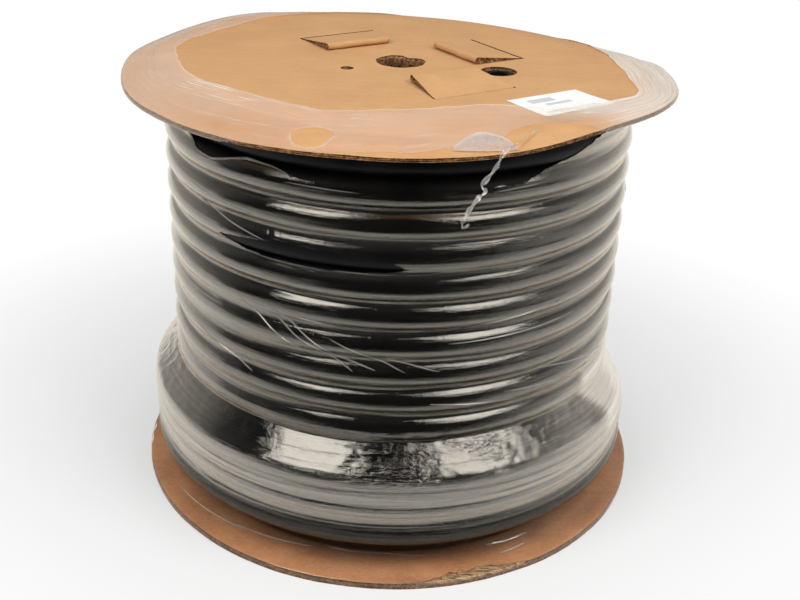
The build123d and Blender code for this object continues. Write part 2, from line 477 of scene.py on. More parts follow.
def bottom_peel(points):
    """How far the top liner is torn back along the crushed front rim and at the left."""
    angle = angle_of(points)
    front, half, depth = TORN_FRONT
    hump = np.exp(-(((angle - front) / half) ** 2) ** 1.5)
    ragged = 0.75 + 0.25 * noise(angle / 1.2, 3.3, 21, 300)
    left, left_half, left_depth = TORN_LEFT
    return MM * (depth * hump * ragged + left_depth * np.exp(-(signed(angle - left) / left_half) ** 2))


def build_bottom_flange():
    loops = flange_loops(rim_wobble(12, BOTTOM_DENTS))
    return flange_mesh("bottom_board", loops, 0.0, peel=bottom_peel, slot="board_shaded",
                       replaces=["bottom_flange"])


# Core tube and its tongues

# Edges of a folded tongue in millimetres, as distance inwards from its outer face and height over the flange:
# its fold, the end of its straight part and its tip
TONGUE_UPPER = (((0, -7), (0, -1.2), (0.2, -0.4), (0.8, 0.2), (2, 0.5)), (56, 7.3),
                ((57.7, 7.1), (59.0, 6.0), (59.8, 4.5)))
TONGUE_LOWER = (((5, -7), (5, -1.5), (5.3, -0.7), (6.2, -0.1), (8, 0.15)), (56, 0.45),
                ((57.7, 0.7), (59.0, 1.6), (59.8, 2.9)))
TONGUE_STEPS = 18
TONGUE_COLUMNS = 37
TONGUE_DENT_FROM = 0.013
TONGUE_DENT_OVER = 0.045
TONGUE_SIDE_LEVELS = ((0, 0), (0.12, 0), (0.17, 1), (0.5, 1), (0.83, 1), (0.88, 0), (1, 0))
TONGUE_SIDE_STEPS = 150
TONGUE_FLUTE = 0.0072
TONGUE_FLUTE_INSET = 0.0012
TONGUE_FLUTE_WAVE = 0.0010
PRESSED_WALL = 0.003
PRESSED_ROUND = 0.0004
PRESSED_COLUMNS = 13
CORE_STEP = 2.5


def tongue_edge(folded, straight_end, tip):
    """Edge of a folded tongue: distance inwards from its outer face, and height."""
    straight = np.linspace(folded[-1], straight_end, TONGUE_STEPS + 1)[1:]
    return np.concatenate([folded, straight, tip]) * MM + (0, TOP_FACE)


def tongue_side(side, inward, taper):
    """Distance of a tongue's side from its middle, narrowing towards the free end."""
    narrowing = taper[0] if side < 0 else taper[1]
    share = np.clip((inward - TONGUE_WALL) / (TONGUE_REACH - TONGUE_WALL), 0, 1)
    return side * (TONGUE_HALF - narrowing * share)


def tongue_dent(side_way, inward, seed):
    """Unevenness of a tongue's faces, growing towards its free end."""
    broad = 0.5 * noise(side_way / 0.02, inward / 0.03, seed)
    fine = 0.25 * noise(side_way / 0.008, inward / 0.05, seed + 1)
    return MM * (broad + fine) * np.clip((inward - TONGUE_DENT_FROM) / TONGUE_DENT_OVER, 0, 1)


def add_tongue(shell, angle, face, taper, seed):
    """Folded tongue: smooth faces, a rounded free end and raw fluted sides."""
    upper, lower = tongue_edge(*TONGUE_UPPER), tongue_edge(*TONGUE_LOWER)
    at = turned(angle)
    section = np.concatenate([upper, lower[::-1]])
    inward, height = section[:, 0], section[:, 1]
    low, high = tongue_side(-1, inward, taper), tongue_side(1, inward, taper)
    points = []
    for share in np.linspace(0, 1, TONGUE_COLUMNS):
        t = low * (1 - share) + high * share
        z = height + tongue_dent(t, inward, seed)
        points.append([at(face - i, tt, zz) for i, tt, zz in zip(inward, t, z)])
    shell.add_grid(points)
    for side in (-1, 1):
        add_tongue_side(shell, at, face, taper, seed, side, upper, lower)


def add_tongue_side(shell, at, face, taper, seed, side, upper, lower):
    """Raw side of a tongue, where the flutes end between its liners."""
    fine = np.linspace(0, len(upper) - 1, TONGUE_SIDE_STEPS)
    points = []
    for k in fine:
        a, b = (np.array([np.interp(k, range(len(e)), e[:, c]) for c in (0, 1)]) for e in (upper, lower))
        for share, deep in TONGUE_SIDE_LEVELS:
            inward, z = a + (b - a) * share
            wave = math.sin(2 * math.pi * (inward / TONGUE_FLUTE + 0.5 * share))
            step = deep * (TONGUE_FLUTE_INSET + TONGUE_FLUTE_WAVE * wave)
            t = float(tongue_side(side, inward, taper))
            z = z + float(tongue_dent(np.array(t), np.array(inward), seed))
            points.append(at(face - inward, t - side * step, z))
    faces, _ = grid_faces(len(fine), len(TONGUE_SIDE_LEVELS))
    shell.add(points, faces if side > 0 else faces[:, ::-1], 1)


def add_pressed_tongue(shell, angle, face):
    """Tongue pressed flush with the underside."""
    at = turned(angle)
    end, wall, thin, edge = TONGUE_REACH, TONGUE_WALL, PRESSED_WALL, PRESSED_ROUND
    section = [(0.0, BOARD), (0.0, edge), (edge, 0.0), (end - edge, 0.0), (end, edge), (end, thin),
               (wall, thin), (wall, BOARD)]
    across = np.linspace(-TONGUE_HALF, TONGUE_HALF, PRESSED_COLUMNS)
    points = [at(face - i, t, z) for t in across for i, z in section]
    faces, _ = grid_faces(len(across), len(section), wrap_columns=True)
    last = (len(across) - 1) * len(section)
    caps = [list(range(len(section)))[::-1], [last + k for k in range(len(section))]]
    shell.add(points, [list(f) for f in faces] + caps)


def build_core():
    shell = Shell()
    angles = np.radians(np.arange(0, 360, CORE_STEP))
    ring = [(CORE_R, BOARD), (CORE_R, TOP_INSIDE), (CORE_BORE_R, TOP_INSIDE), (CORE_BORE_R, BOARD)]
    points = [[(r * math.cos(a), r * math.sin(a), z) for r, z in ring] for a in angles]
    shell.add_grid(points, wrap_rows=True, wrap_columns=True)
    for k, (angle, face, taper) in enumerate(zip(TONGUE_ANGLES, TONGUE_FACES, TONGUE_TAPERS)):
        add_tongue(shell, angle, face, taper, 31 + 5 * k)
        add_pressed_tongue(shell, angle, face)
    return shell.make("core_board", slot="board", replaces=["core_tube"])


FLAP_ANGLES = (-15, 200, 70)
FLAP_ROWS = 12
FLAP_HANG = 0.030
FLAP_LIMIT = 0.034
FLAP_THICKNESS = 0.0012


def build_arbor_flap():
    """Torn board that hangs inside the arbor hole at its back."""
    rows = np.linspace(*FLAP_ANGLES)
    down = np.linspace(0, 1, FLAP_ROWS)
    points = []
    for a in rows:
        edge = ARBOR_R + float(arbor_wobble(np.array(a)))
        for d in down:
            wave = 1.6 * math.sin(a / 7.0 + 5 * d) * d + 0.8 * math.sin(a / 2.6 - 9 * d) * d
            r = edge - MM * (1.0 - 9.0 * math.sin(math.pi * d * 0.55) * d + wave) + 0.0006
            z = TOP_FACE - FLAP_THICKNESS - FLAP_HANG * d * (0.85 + 0.15 * math.sin(a / 5.0))
            points.append(polar(min(r, FLAP_LIMIT), a, z))
    faces, _ = grid_faces(len(rows), len(down))
    obj = piece("arbor_flap", points, faces, slot="board")
    thicken(obj, FLAP_THICKNESS)
    return obj


def thicken(obj, thickness):
    """Gives a sheet a thickness, applied to its mesh."""
    modifier = obj.modifiers.new("thickness", "SOLIDIFY")
    modifier.thickness = thickness
    modifier.offset = 0
    graph = bpy.context.evaluated_depsgraph_get()
    mesh = bpy.data.meshes.new_from_object(obj.evaluated_get(graph))
    obj.modifiers.clear()
    obj.data = mesh


# Hose

# Cut end of the hose: how far each ring is pushed out, and its radius
END_RINGS = (
    (0.0006, HOSE_R - 0.0003), (0.0011, HOSE_R - 0.0010), (0.0011, 0.0122), (0.0007, 0.0120),
    (0.0007, 0.0106), (0.0011, 0.0104), (0.0010, HOSE_BORE_R), (-0.045, HOSE_BORE_R), (-0.045, 0.0002),
)


def winding():
    """Radius and height of each turn, in the order the hose was wound."""
    turns = []
    for layer in range(4):
        base = EVEN_BASE if layer % 2 == 0 else ODD_BASE
        order = range(TURNS) if layer % 2 == 0 else reversed(range(TURNS))
        turns += [(LAYER_RADII[layer], base + PITCH * k) for k in order]
    turns += [(LAYER_RADII[4], EVEN_BASE + PITCH * k) for k in range(1, OUTER_TURNS + 1)]
    return np.array(turns)


WINDING = winding()
WIND_END = len(WINDING) - 1 + ((OUTER_END - CROSS_START) % 360) / 360


def hose_at(turn):
    """Radius and height of the hose's centre line after a number of turns."""
    n = np.clip(np.floor(turn).astype(int), 0, len(WINDING) - 1)
    following = np.minimum(n + 1, len(WINDING) - 1)
    s = smooth((turn - n - (1 - CROSS_SHARE)) / CROSS_SHARE)[..., None]
    here = WINDING[n] * (1 - s) + WINDING[following] * s
    return here[..., 0], here[..., 1]


def tube_points(turn, sides):
    """Rings of points round the hose's centre line."""
    r, z = hose_at(turn)
    angle = np.radians(CROSS_START) + 2 * math.pi * turn
    phi = full_turn(sides)
    rr = r[:, None] + HOSE_R * np.cos(phi)
    zz = z[:, None] + HOSE_R * np.sin(phi)
    return np.stack([rr * np.cos(angle)[:, None], rr * np.sin(angle)[:, None], zz], -1)


def end_rings(centre, radial, up, along, sides):
    """Rings of a square-cut hose end: rounded cover edge, cut face with its wire braid, and the bore."""
    phi = full_turn(sides)
    around = np.cos(phi)[:, None] * radial + np.sin(phi)[:, None] * up
    return np.array([centre + along * push + r * around for push, r in END_RINGS])


def outer_end(turn, sides):
    """Rings of the hose's outer end after a number of turns."""
    r, z = hose_at(np.array([turn]))
    a = math.radians(CROSS_START) + 2 * math.pi * turn
    radial = np.array([math.cos(a), math.sin(a), 0])
    along = np.array([-math.sin(a), math.cos(a), 0])
    centre = np.array([r[0] * radial[0], r[0] * radial[1], z[0]])
    return end_rings(centre, radial, UP, along, sides)


def build_hose():
    """Outer layers as a smooth tube with its cut end, and the hidden layers more coarsely."""
    hidden = np.arange(HIDDEN_TURNS * HIDDEN_RINGS + 1) / HIDDEN_RINGS
    shown = np.arange(HIDDEN_TURNS, WIND_END, 1 / SHOWN_RINGS)
    outer = np.concatenate([tube_points(shown, SHOWN_SIDES), outer_end(shown[-1], SHOWN_SIDES)])
    shell = Shell()
    for rings in (tube_points(hidden, HIDDEN_SIDES), outer):
        shell.add_grid(rings, wrap_columns=True)
    return shell.make("hose_turns", slot="hose_rubber", replaces=["hose_coil"])


def build_inner_end():
    """Inner end of the hose, bent up to the hose hole."""
    c, s = polar(1.0, HOSE_HOLE_ANGLE)
    aside = np.array([-s, c, 0])
    phi = full_turn(TAIL_SIDES)
    rings = []
    for b in np.radians(np.linspace(TAIL_SWEEP, 0, TAIL_RINGS)):
        r = HOSE_HOLE_RADIUS + TAIL_BEND * (1 - math.cos(b))
        centre = np.array([r * c, r * s, TAIL_TOP - TAIL_BEND * math.sin(b)])
        out = np.array([math.cos(b) * c, math.cos(b) * s, math.sin(b)])
        rings.append(centre + HOSE_R * (np.cos(phi)[:, None] * out + np.sin(phi)[:, None] * aside))
    centre = np.array([HOSE_HOLE_RADIUS * c, HOSE_HOLE_RADIUS * s, TAIL_TOP])
    ends = end_rings(centre, np.array([c, s, 0]), aside, UP, TAIL_SIDES)
    shell = Shell()
    shell.add_grid(np.concatenate([np.array(rings), ends]), wrap_columns=True)
    return shell.make("hose_tail", slot="hose_rubber", replaces=["hose_inner_end"])


# Stretch film. A band is a lower bound, its rise, an upper bound and its fall, in metres or degrees.

FILM_COLUMNS = 600
FILM_GAP = 0.0005
SIDE_STEP = 0.001
SIDE_LOW = 0.0105
SIDE_SPLITS = (0.118, 0.270)
SIDE_HIGH = 0.4195
MEAN_RADIUS = 0.245
GROOVE_R = LAYER_RADII[3] + 0.002

# Balls that the film's skin is rolled with, and how far they reach: into the grooves, and over them
TIGHT_BALL = (0.0042, 0.0041)
TAUT_BALL = (0.028, 0.0275)

# The film's tent past the hose's outer end, and its straight span over the step of the coil
TENT_SPAN = 0.20
TENT_DROP = 0.027
TENT_SINK = 0.010
TENT_LEAN = 5
TENT_LEAN_FROM = 0.118
TENT_END = 75
TENT_BAND = (0.084, 0.014, 0.176, 0.022)
TENT_CALM = (-38, 8, TENT_END, 20)
NEAR_END = (-64, 26, TENT_END, 40)
HOSE_END_Z = 0.117
SPAN = (0.086, 0.145)

# Where the film is crumpled, smooth, finely crinkled, ribbed or scuffed
CRUMPLED = (0.114, 0.008, 0.160, 0.010)
CALM_CRUMPLES = (-113.0, 2, -99.0, 4)
CALM_CRINKLE = (-113.0, 2, -99.0, 5)
CRINKLED = (0.108, 0.006, 0.150, 0.008)
CRINKLED_FRONT = (-103, 6, -52, 14)
CRINKLED_LEFT = (-172, 12, -112, 6)
RIBBED = (-121.0, 3, -55.0, 6)
RIB_Z = 0.340
RIB_HALF = 0.0055
SCUFFED_FROM = -128
STEP_BAND = (0.112, 0.008, 0.166, 0.010)

# Where the film is more wrinkled, slack, hazy for being loose, or dimmed near the bottom as a painted shade
WRINKLED_BELOW = 0.106
SLACK_ABOVE = 0.10
LOOSE_ABOVE = 0.034
LOOSE_HALF = 0.008
PAINTED_SHADE_BELOW = 0.074
TENT_HAZE = 9.0
NEAR_END_HAZE = 3.5
SCUFFED_HAZE = 1.3
FOOT_CLOUD = (-75, 30, 80, 40)

# How far the film lies off the flanges, and how far it spreads below the top one
FOOT_LIFT = 0.0004
RIM_LIFT = 0.0006
HEAD_SPREAD = 0.012

# Gap in the film along one turn: angle, lower and upper edge in millimetres
FILM_SLIT = (
    (-133, 325.4, 325.5), (-125.5, 316.8, 330), (-118, 315.4, 333), (-109, 315.5, 334.5),
    (-100, 316.2, 334.5), (-92.6, 317.3, 333), (-90, 317.8, 329), (-86.5, 321, 321.2),
)

# Upper edge of the film where it hangs free below the top flange, in millimetres by angle
FREE_EDGE = (
    (-160, 440), (-152, 430), (-147, 410), (-141, 396), (-134.5, 394), (-129.4, 398.5), (-123.6, 404),
    (-117, 402), (-110, 396), (-100, 394), (-80, 394), (-62, 396), (-50, 408), (-40, 424), (-33, 436),
    (-28, 440),
)

# Pleats across the turns, and two painted highlights: start angle and height, end angle and height, half
# width, in millimetres
PLEATS_AND_HIGHLIGHTS = (
    (-111.5, 263.9, -102.4, 259.8, 0.6), (-118.1, 269.3, -102.4, 231.1, 0.5),
    (-112.3, 247.7, -98.1, 218.0, 0.5), (-103.3, 248.1, -86.5, 219.0, 0.4),
    (-106.5, 234.3, -93.0, 220.0, 0.5), (-118.1, 262.1, -110.1, 242.6, 0.4),
    (-90.9, 231.0, -78.7, 218.9, 0.4), (-126.0, 265.5, -110.1, 230.1, 0.5),
    (-72.5, 260.9, -48.7, 270.5, 0.5), (-76.8, 247.4, -42.5, 249.5, 0.5),
    (-58.9, 202.6, -25.1, 182.3, 0.6), (-62.6, 188.0, -31.6, 175.1, 0.5),
    (-143.1, 363.2, -122.3, 354.3, 0.6), (-140.7, 346.7, -119.2, 333.5, 0.5),
    (-142.1, 213.3, -123.7, 192.1, 0.6), (-80.6, 185.3, -58.3, 176.6, 0.5),
    (-57.8, 378.1, -31.9, 371.6, 0.5), (20, 300, 60, 262, 0.6), (75, 340, 118, 318, 0.6),
    (130, 230, 172, 260, 0.6), (150, 372, 190, 350, 0.5), (-10, 330, 25, 345, 0.5),
    # Pale strips along the film's free edge that stand in for the lamp's highlight there: painted highlights
    (-113.5, 392.6, -97.0, 391.2, 0.5), (-69.0, 391.4, -56.5, 393.4, 0.5),
)
ROLLED_EDGE = (-149.0, -112.0, 0.8)
STRIP_POINTS = 48
STRIP_SECTION = ((-1.6, -0.0005), (-0.5, 0.0003), (0, 0.0006), (0.5, 0.0003), (1.6, -0.0005))

# Creases on the bottom flange, whose pale film stands in for the glare along them as a painted highlight:
# start angle and radius, end angle and radius, half width, in millimetres
FOOT_CREASES_AND_GLARE = (
    (-103.5, 231.5, -88.0, 231.0, 0.9), (-89.0, 231.5, -80.0, 236.5, 0.6),
    (-64.0, 236.5, -52.5, 240.0, 0.9), (-62.5, 253.2, -55.5, 251.5, 0.7),
    (-128.0, 246.0, -108.0, 236.0, 0.5), (-150.0, 258.0, -126.0, 247.0, 0.5),
)
FOOT_CREASE_Z = 0.0083


def rolled(profile, ball, reach):
    """Skin that a ball of this radius leaves when rolled over the profile from outside."""
    n = int(reach / SIDE_STEP)
    offsets = np.arange(-n, n + 1)
    cap = np.sqrt(ball**2 - (offsets * SIDE_STEP) ** 2) - ball
    width = profile.shape[-1]
    padded = np.pad(profile, ((0, 0), (n, n)), mode="edge")
    up = np.max([padded[:, n + o:n + o + width] + c for o, c in zip(offsets, cap)], axis=0)
    padded = np.pad(up, ((0, 0), (n, n)), mode="edge")
    return np.min([padded[:, n + o:n + o + width] - c for o, c in zip(offsets, cap)], axis=0)


def drawn_tight(heights, profile):
    """Straight skin drawn over one profile from its first to its last point."""
    hull = []
    for z, r in zip(heights, profile):
        while len(hull) > 1:
            (z0, r0), (z1, r1) = hull[-2:]
            if (r1 - r0) * (z - z0) > (r - r0) * (z1 - z0):
                break
            hull.pop()
        hull.append((z, r))
    return np.interp(heights, *zip(*hull))


def support(angles, heights):
    """Radius of the hose under the film, by angle and height."""
    base = ((angles - math.radians(CROSS_START)) / (2 * math.pi)) % 1
    surface = np.full((len(angles), len(heights)), GROOVE_R)
    for lap in range(3 * TURNS - 1, len(WINDING)):
        turn = base + lap
        r, z = hose_at(turn)
        past = smooth((turn - WIND_END) / TENT_SPAN)
        r = r - TENT_DROP * past
        z = z - TENT_SINK * past
        inside = HOSE_R**2 - (heights[None] - z[:, None]) ** 2
        bulge = r[:, None] + np.sqrt(np.maximum(inside, 0))
        surface = np.where((inside > 0) & (bulge > surface), bulge, surface)
    return surface


def fold(value, sharpness):
    """Narrow ridges where a noise crosses zero."""
    return (1 - np.abs(value)) ** sharpness


def wrinkles(angles, heights, free):
    """Relief of the stretched film: long tension lines, mostly where it spans between turns."""
    share = angles[:, None] / (2 * math.pi)
    v = heights[None]
    lean = 0.010 * round_noise(share, 6, v / 0.09, 51)
    long_lines = fold(round_noise(share, 5, (v + lean) / 0.0085, 52), 4)
    fine_lines = fold(round_noise(share, 12, (v + 0.6 * lean) / 0.0042, 53), 3)
    where = np.clip(0.45 + 0.8 * round_noise(share, 13, v / 0.05, 54), 0, 1)
    low = 1 + 1.5 * smooth((WRINKLED_BELOW - v) / 0.010)
    return MM * low * (0.45 * long_lines + 0.58 * fine_lines * where) * (0.25 + 0.75 * free)


def crumples(angles, heights):
    """Crumples over the step of the coil, and the ribs along one crimped turn."""
    share = angles[:, None] / (2 * math.pi)
    degrees = signed(np.degrees(angles))[:, None]
    v = heights[None]
    bent = share + 0.0035 * round_noise(share, 70, v / 0.013, 44)
    risen = v + 0.006 * round_noise(share, 45, v / 0.02, 45)
    coarse = fold(round_noise(bent, 95, risen / 0.012, 55), 2)
    fine = fold(round_noise(bent + 0.1, 190, (risen + 0.02) / 0.007, 56), 2)
    grain = round_noise(bent, 330, risen / 0.0042, 46)
    patch = np.clip(0.65 + 0.8 * round_noise(share, 15, v / 0.05, 57), 0.30, 1)
    calm = (1 - 0.93 * between(degrees, *CALM_CRUMPLES)) * (1 - 0.9 * between(degrees, *TENT_CALM))
    step = between(v, *CRUMPLED) * (0.85 * coarse + 0.60 * fine + 0.34 * grain) * patch * calm
    ridge = between(degrees, *RIBBED) * np.exp(-((v - RIB_Z) / RIB_HALF) ** 2)
    return MM * (step + 0.22 * ridge * round_noise(share, 380, v / 0.02, 59))


def side_film():
    """Radius of the film on the coil, by angle and height, and how loose it is."""
    angles = full_turn(FILM_COLUMNS) + math.radians(90)
    heights = np.arange(SIDE_LOW, SIDE_HIGH + SIDE_STEP / 2, SIDE_STEP)
    under = support(angles, heights)
    tight, taut = rolled(under, *TIGHT_BALL), rolled(under, *TAUT_BALL)
    share = angles[:, None] / (2 * math.pi)
    slack = np.clip(0.80 + 0.65 * round_noise(share, 11, heights[None] / 0.026, 58), 0.15, 1)
    slack = slack * (0.45 + 0.55 * smooth((heights[None] - SLACK_ABOVE) / 0.05))
    radius = tight * slack + taut * (1 - slack)
    window = (heights > SPAN[0]) & (heights < SPAN[1])
    for column in range(FILM_COLUMNS):
        drawn = drawn_tight(heights[window], under[column, window])
        radius[column, window] = np.maximum(radius[column, window], drawn)
    free = smooth((radius - under) / 0.003)
    radius = np.maximum(radius + wrinkles(angles, heights, free) + crumples(angles, heights), under)
    return angles, heights, radius + FILM_GAP, looseness(angles, heights, radius - under)


def looseness(angles, heights, gap):
    """Haze of the film: a little where it is free between turns, and most past the hose's end."""
    degrees = signed(np.degrees(angles))[:, None]
    z = heights[None]
    on_step = between(z, *STEP_BAND)
    start = OUTER_END - TENT_LEAN * smooth((z - TENT_LEAN_FROM) / 0.030)
    tent = between(degrees, start, 5, TENT_END, 40) * between(z, *TENT_BAND)
    end_shows = np.exp(-(((degrees - OUTER_END) / 2.6 + 1) ** 2) - ((z - HOSE_END_Z) / 0.011) ** 2)
    near_end = between(degrees, *NEAR_END) * on_step * (1 - 0.85 * end_shows)
    scuffed = smooth((SCUFFED_FROM - degrees) / 12) * on_step
    free = gap / (gap + LOOSE_HALF) * (1 - on_step) * smooth((z - LOOSE_ABOVE) / 0.020)
    return free + TENT_HAZE * tent + NEAR_END_HAZE * near_end + SCUFFED_HAZE * scuffed


def crinkled(angles, heights):
    """Share of fine crinkle in the film: in patches over the step of the coil, but not on its smooth part."""
    degrees = signed(np.degrees(angles))[:, None]
    z = heights[None]
    patchy = smooth((noise(degrees / 5.0, z / 0.011, 83, 72) + 0.05) / 0.30)
    sides = between(degrees, *CRINKLED_FRONT) + 0.6 * between(degrees, *CRINKLED_LEFT)
    return between(z, *CRINKLED) * (1 - between(degrees, *CALM_CRINKLE)) * patchy * sides


def film_grid(name, angles, radii, heights, wrap=True, cut=None, **kw):
    """Film piece from rows of radius and height by angle. Its UV is in metres."""
    points = np.stack([radii * np.cos(angles)[:, None], radii * np.sin(angles)[:, None], heights], -1)
    faces, places = grid_faces(*radii.shape, wrap_rows=wrap)
    steps = np.hypot(np.diff(radii, axis=1), np.diff(heights, axis=1)).mean(0)
    along = np.concatenate([[0], np.cumsum(steps)])
    spacing = abs(angles[1] - angles[0]) * MEAN_RADIUS
    uv = np.stack([places[:, 0] * spacing, along[places[:, 1]]], -1)
    points = points.reshape(-1, 3)
    if cut is not None:
        keep = ~cut(points[faces].mean(1))
        faces, uv = faces[keep], uv.reshape(-1, 4, 2)[keep].reshape(-1, 2)
    return piece(name, points, faces, uv, slot="clear_film", **kw)


def mark(film, name, values):
    """Keeps a number for each point of the film, which its material reads."""
    layer = film.data.attributes.new(name, "FLOAT", "POINT")
    layer.data.foreach_set("value", values.ravel().astype(np.float32))


def within_table(table, angle):
    """Whether angles lie within a table by angle."""
    return (angle > table[0][0]) & (angle < table[-1][0])


def cut_from_film(middle):
    """Whether points lie in the gap of the film or above its free edge."""
    angle, z = angle_of(middle), middle[:, 2] / MM
    angles, lows, highs = zip(*FILM_SLIT)
    in_slit = (z > np.interp(angle, angles, lows)) & (z < np.interp(angle, angles, highs))
    edge = np.interp(angle, *zip(*FREE_EDGE)) + 1.2 * noise(angle / 2.5, 0.5, 66, 144)
    above = z > edge
    return in_slit & within_table(FILM_SLIT, angle) | above & within_table(FREE_EDGE, angle)


def build_side_film():
    """Film on the coil in three pieces, its pleats with their painted highlight strips, and the film on the
    bottom flange.
    """
    angles, heights, radius, loose = side_film()
    first, second = (int(np.argmin(abs(heights - split))) for split in SIDE_SPLITS)
    low, middle, high = slice(0, first + 1), slice(first, second + 1), slice(second, None)
    full = np.broadcast_to(heights, radius.shape)
    head_r, head_z = head_rows(np.degrees(angles), radius[:, -1])
    upper_r = np.concatenate([radius[:, high], head_r], axis=1)
    upper_z = np.concatenate([full[:, high], head_z], axis=1)
    coil = [
        film_grid("film_lower", angles, radius[:, low], full[:, low], replaces=["stretch_film"]),
        film_grid("film_middle", angles, radius[:, middle], full[:, middle]),
        film_grid("film_upper", angles, upper_r, upper_z, cut=cut_from_film),
    ]
    head = np.repeat(loose[:, -1:], head_r.shape[1], axis=1)
    parts = (loose[:, low], loose[:, middle], np.concatenate([loose[:, high], head], axis=1))
    for film, values in zip(coil, parts):
        mark(film, "loose", values)
    creased = crinkled(angles, heights)
    for film, rows in zip(coil[:2], (low, middle)):
        mark(film, "crinkle", creased[:, rows])
    # Near the bottom the film is cut to one wrap's gloss and a fifth of its haze: a painted shade for the
    # dark below the lowest turns
    painted_shade = np.broadcast_to(smooth((PAINTED_SHADE_BELOW - heights) / 0.020)[None], radius.shape)
    mark(coil[0], "painted_shade", painted_shade[:, low])
    foot = build_foot(angles, radius[:, 0])
    return coil, build_pleats_and_highlights(angles, heights, radius), foot


def build_foot(angles, radius):
    """Film on the bottom flange."""
    foot = film_grid("film_foot", angles, *foot_rows(angles, radius), shadow=False)
    clouded = 0.12 * between(signed(np.degrees(angles))[:, None], *FOOT_CLOUD)
    mark(foot, "loose", np.broadcast_to(clouded, (len(angles), len(foot.data.vertices) // len(angles))))
    return foot


def add_strip(shell, centres, across, outward, half):
    """Narrow raised strip along a line of points, pointed at both ends."""
    share = np.linspace(0.004, 0.996, len(centres))
    across, outward = np.broadcast_to(across, centres.shape), np.broadcast_to(outward, centres.shape)
    facing = np.sign(np.dot(np.cross(centres[1] - centres[0], across[0]), outward[0]))
    width = facing * half * MM * np.sqrt(np.sin(np.pi * share))[:, None]
    rows = [centres + across * width * offset + outward * rise for offset, rise in STRIP_SECTION]
    faces, _ = grid_faces(len(centres), len(STRIP_SECTION))
    shell.add(np.stack(rows, 1).reshape(-1, 3), faces)


def on_ring(a):
    """Outward directions at angles in radians."""
    return np.stack([np.cos(a), np.sin(a), 0 * a], -1)


def build_pleats_and_highlights(angles, heights, radius):
    """Narrow raised pleats that run askew over the film, its rolled edge and creases on the bottom flange.
    Two strips along the free edge are painted highlights, and the creases' pale film is painted glare.
    """
    shell = Shell()
    share = np.linspace(0, 1, STRIP_POINTS)
    runs = []
    for start, low, end, high, half in PLEATS_AND_HIGHLIGHTS:
        runs.append((start + (end - start) * share, low + (high - low) * share, half))
    edge = np.linspace(*ROLLED_EDGE[:2], len(share))
    runs.append((edge, np.interp(edge, *zip(*FREE_EDGE)), ROLLED_EDGE[2]))
    for degrees, z, half in runs:
        a, z = np.radians(degrees), z * MM
        column = ((a - angles[0]) / (angles[1] - angles[0])).round().astype(int) % FILM_COLUMNS
        row = np.clip(((z - heights[0]) / SIDE_STEP).round().astype(int), 0, len(heights) - 1)
        r = np.convolve(np.pad(radius[column, row], 2, mode="edge"), np.ones(5) / 5, mode="valid")
        centres = on_ring(a) * r[:, None] + z[:, None] * UP
        add_strip(shell, centres, UP, on_ring(a), half)
    for start, first, end, last, half in FOOT_CREASES_AND_GLARE:
        a = np.radians(start + (end - start) * share)
        r = (first + (last - first) * share) * MM
        add_strip(shell, on_ring(a) * r[:, None] + FOOT_CREASE_Z * UP, on_ring(a), UP, half)
    return shell.make("film_pleats_and_highlights", slot="clear_film")


def stacked(rows, angles):
    """Grids of radius and of height from rows of them, each by angle or the same all round."""
    return [np.stack([np.broadcast_to(v, angles.shape) for v in values], 1) for values in zip(*rows)]


def foot_rows(angles, radius):
    """Film that lies on the bottom flange, from over its rim in to the coil."""
    degrees = np.degrees(angles)
    rim, low = FLANGE_R + RIM_LIFT, BOARD + FOOT_LIFT
    rows = [(rim, 0.0020), (rim, 0.0055), (rim - FOOT_LIFT, low)]
    for s in np.linspace(0, 1, 15)[1:]:
        fine, broad = noise(degrees / 1.7, s * 3.5, 62, 212), noise(degrees / 7.0, s * 9, 65, 52)
        ripple = MM * 0.45 * (np.abs(fine) + 0.8 * np.abs(broad))
        z = low + ripple * (1 - s**8) + (SIDE_LOW - low) * s**8
        rows.append(((rim - FOOT_LIFT) * (1 - s) + radius * s, z))
    return stacked(rows, angles)


def head_rows(degrees, radius):
    """Film from the top turn out to the underside of the top flange."""
    rows = []
    for s in np.linspace(0, 1, 9)[1:]:
        r = radius + HEAD_SPREAD * s**1.5
        under = TOP_INSIDE + flange_lift(r, degrees) - RIM_LIFT
        ripple = MM * 0.4 * noise(degrees / 2.0, s * 2.0, 64, 180) * math.sin(math.pi * s)
        rows.append((r + ripple, SIDE_HIGH * (1 - s) + under * s))
    return stacked(rows, degrees)


# Film on the top flange

RIM_GAP = (-104.0, -51.5)
RIM_OVERLAP = 4
RIM_START = 0.2495
RIM_SLANT = 9.0
RIM_TOP = TOP_FACE + 0.004
LAP_GRID = (720, 90)
LAP_RADIUS = 0.23
LAP_LIFT = 0.0004
LAP_CLOUD = (-52, 14, 70, 30)
LAP_RIM = FLANGE_R / MM
SCRAP_LIFT = 0.0010

# How far the strip of film stands out past the rim: below, beside and on the board
RIM_OUT = (0.0004, 0.0007, -0.0002)

# Inner edge of the film's lap on the top flange, as radius in millimetres by angle
LAP_EDGE = (
    (-177, 223), (-150, 208), (-144, 197), (-130, 191), (-116, 192), (-108, 192), (-95, 173), (-77, 164),
    (-60, 164), (-52, 190), (-46, 212), (-34, 228), (-26, 246), (-13, 230), (4, 222), (20, 227),
    (45, 258), (85, 262), (107, 243), (121, 236), (148, 225), (165, 231), (174, 234),
)

# Outer edge of the lap, as radius in millimetres by angle
LAP_OUTER = (
    (-104, 275), (-99, 272), (-94, 269), (-89, 268), (-84, 265), (-80, 260), (-77, 258), (-73, 262),
    (-70, 258), (-67, 241), (-62, 232), (-58, 234), (-55, 242), (-53, 262), (-51.5, 275),
)

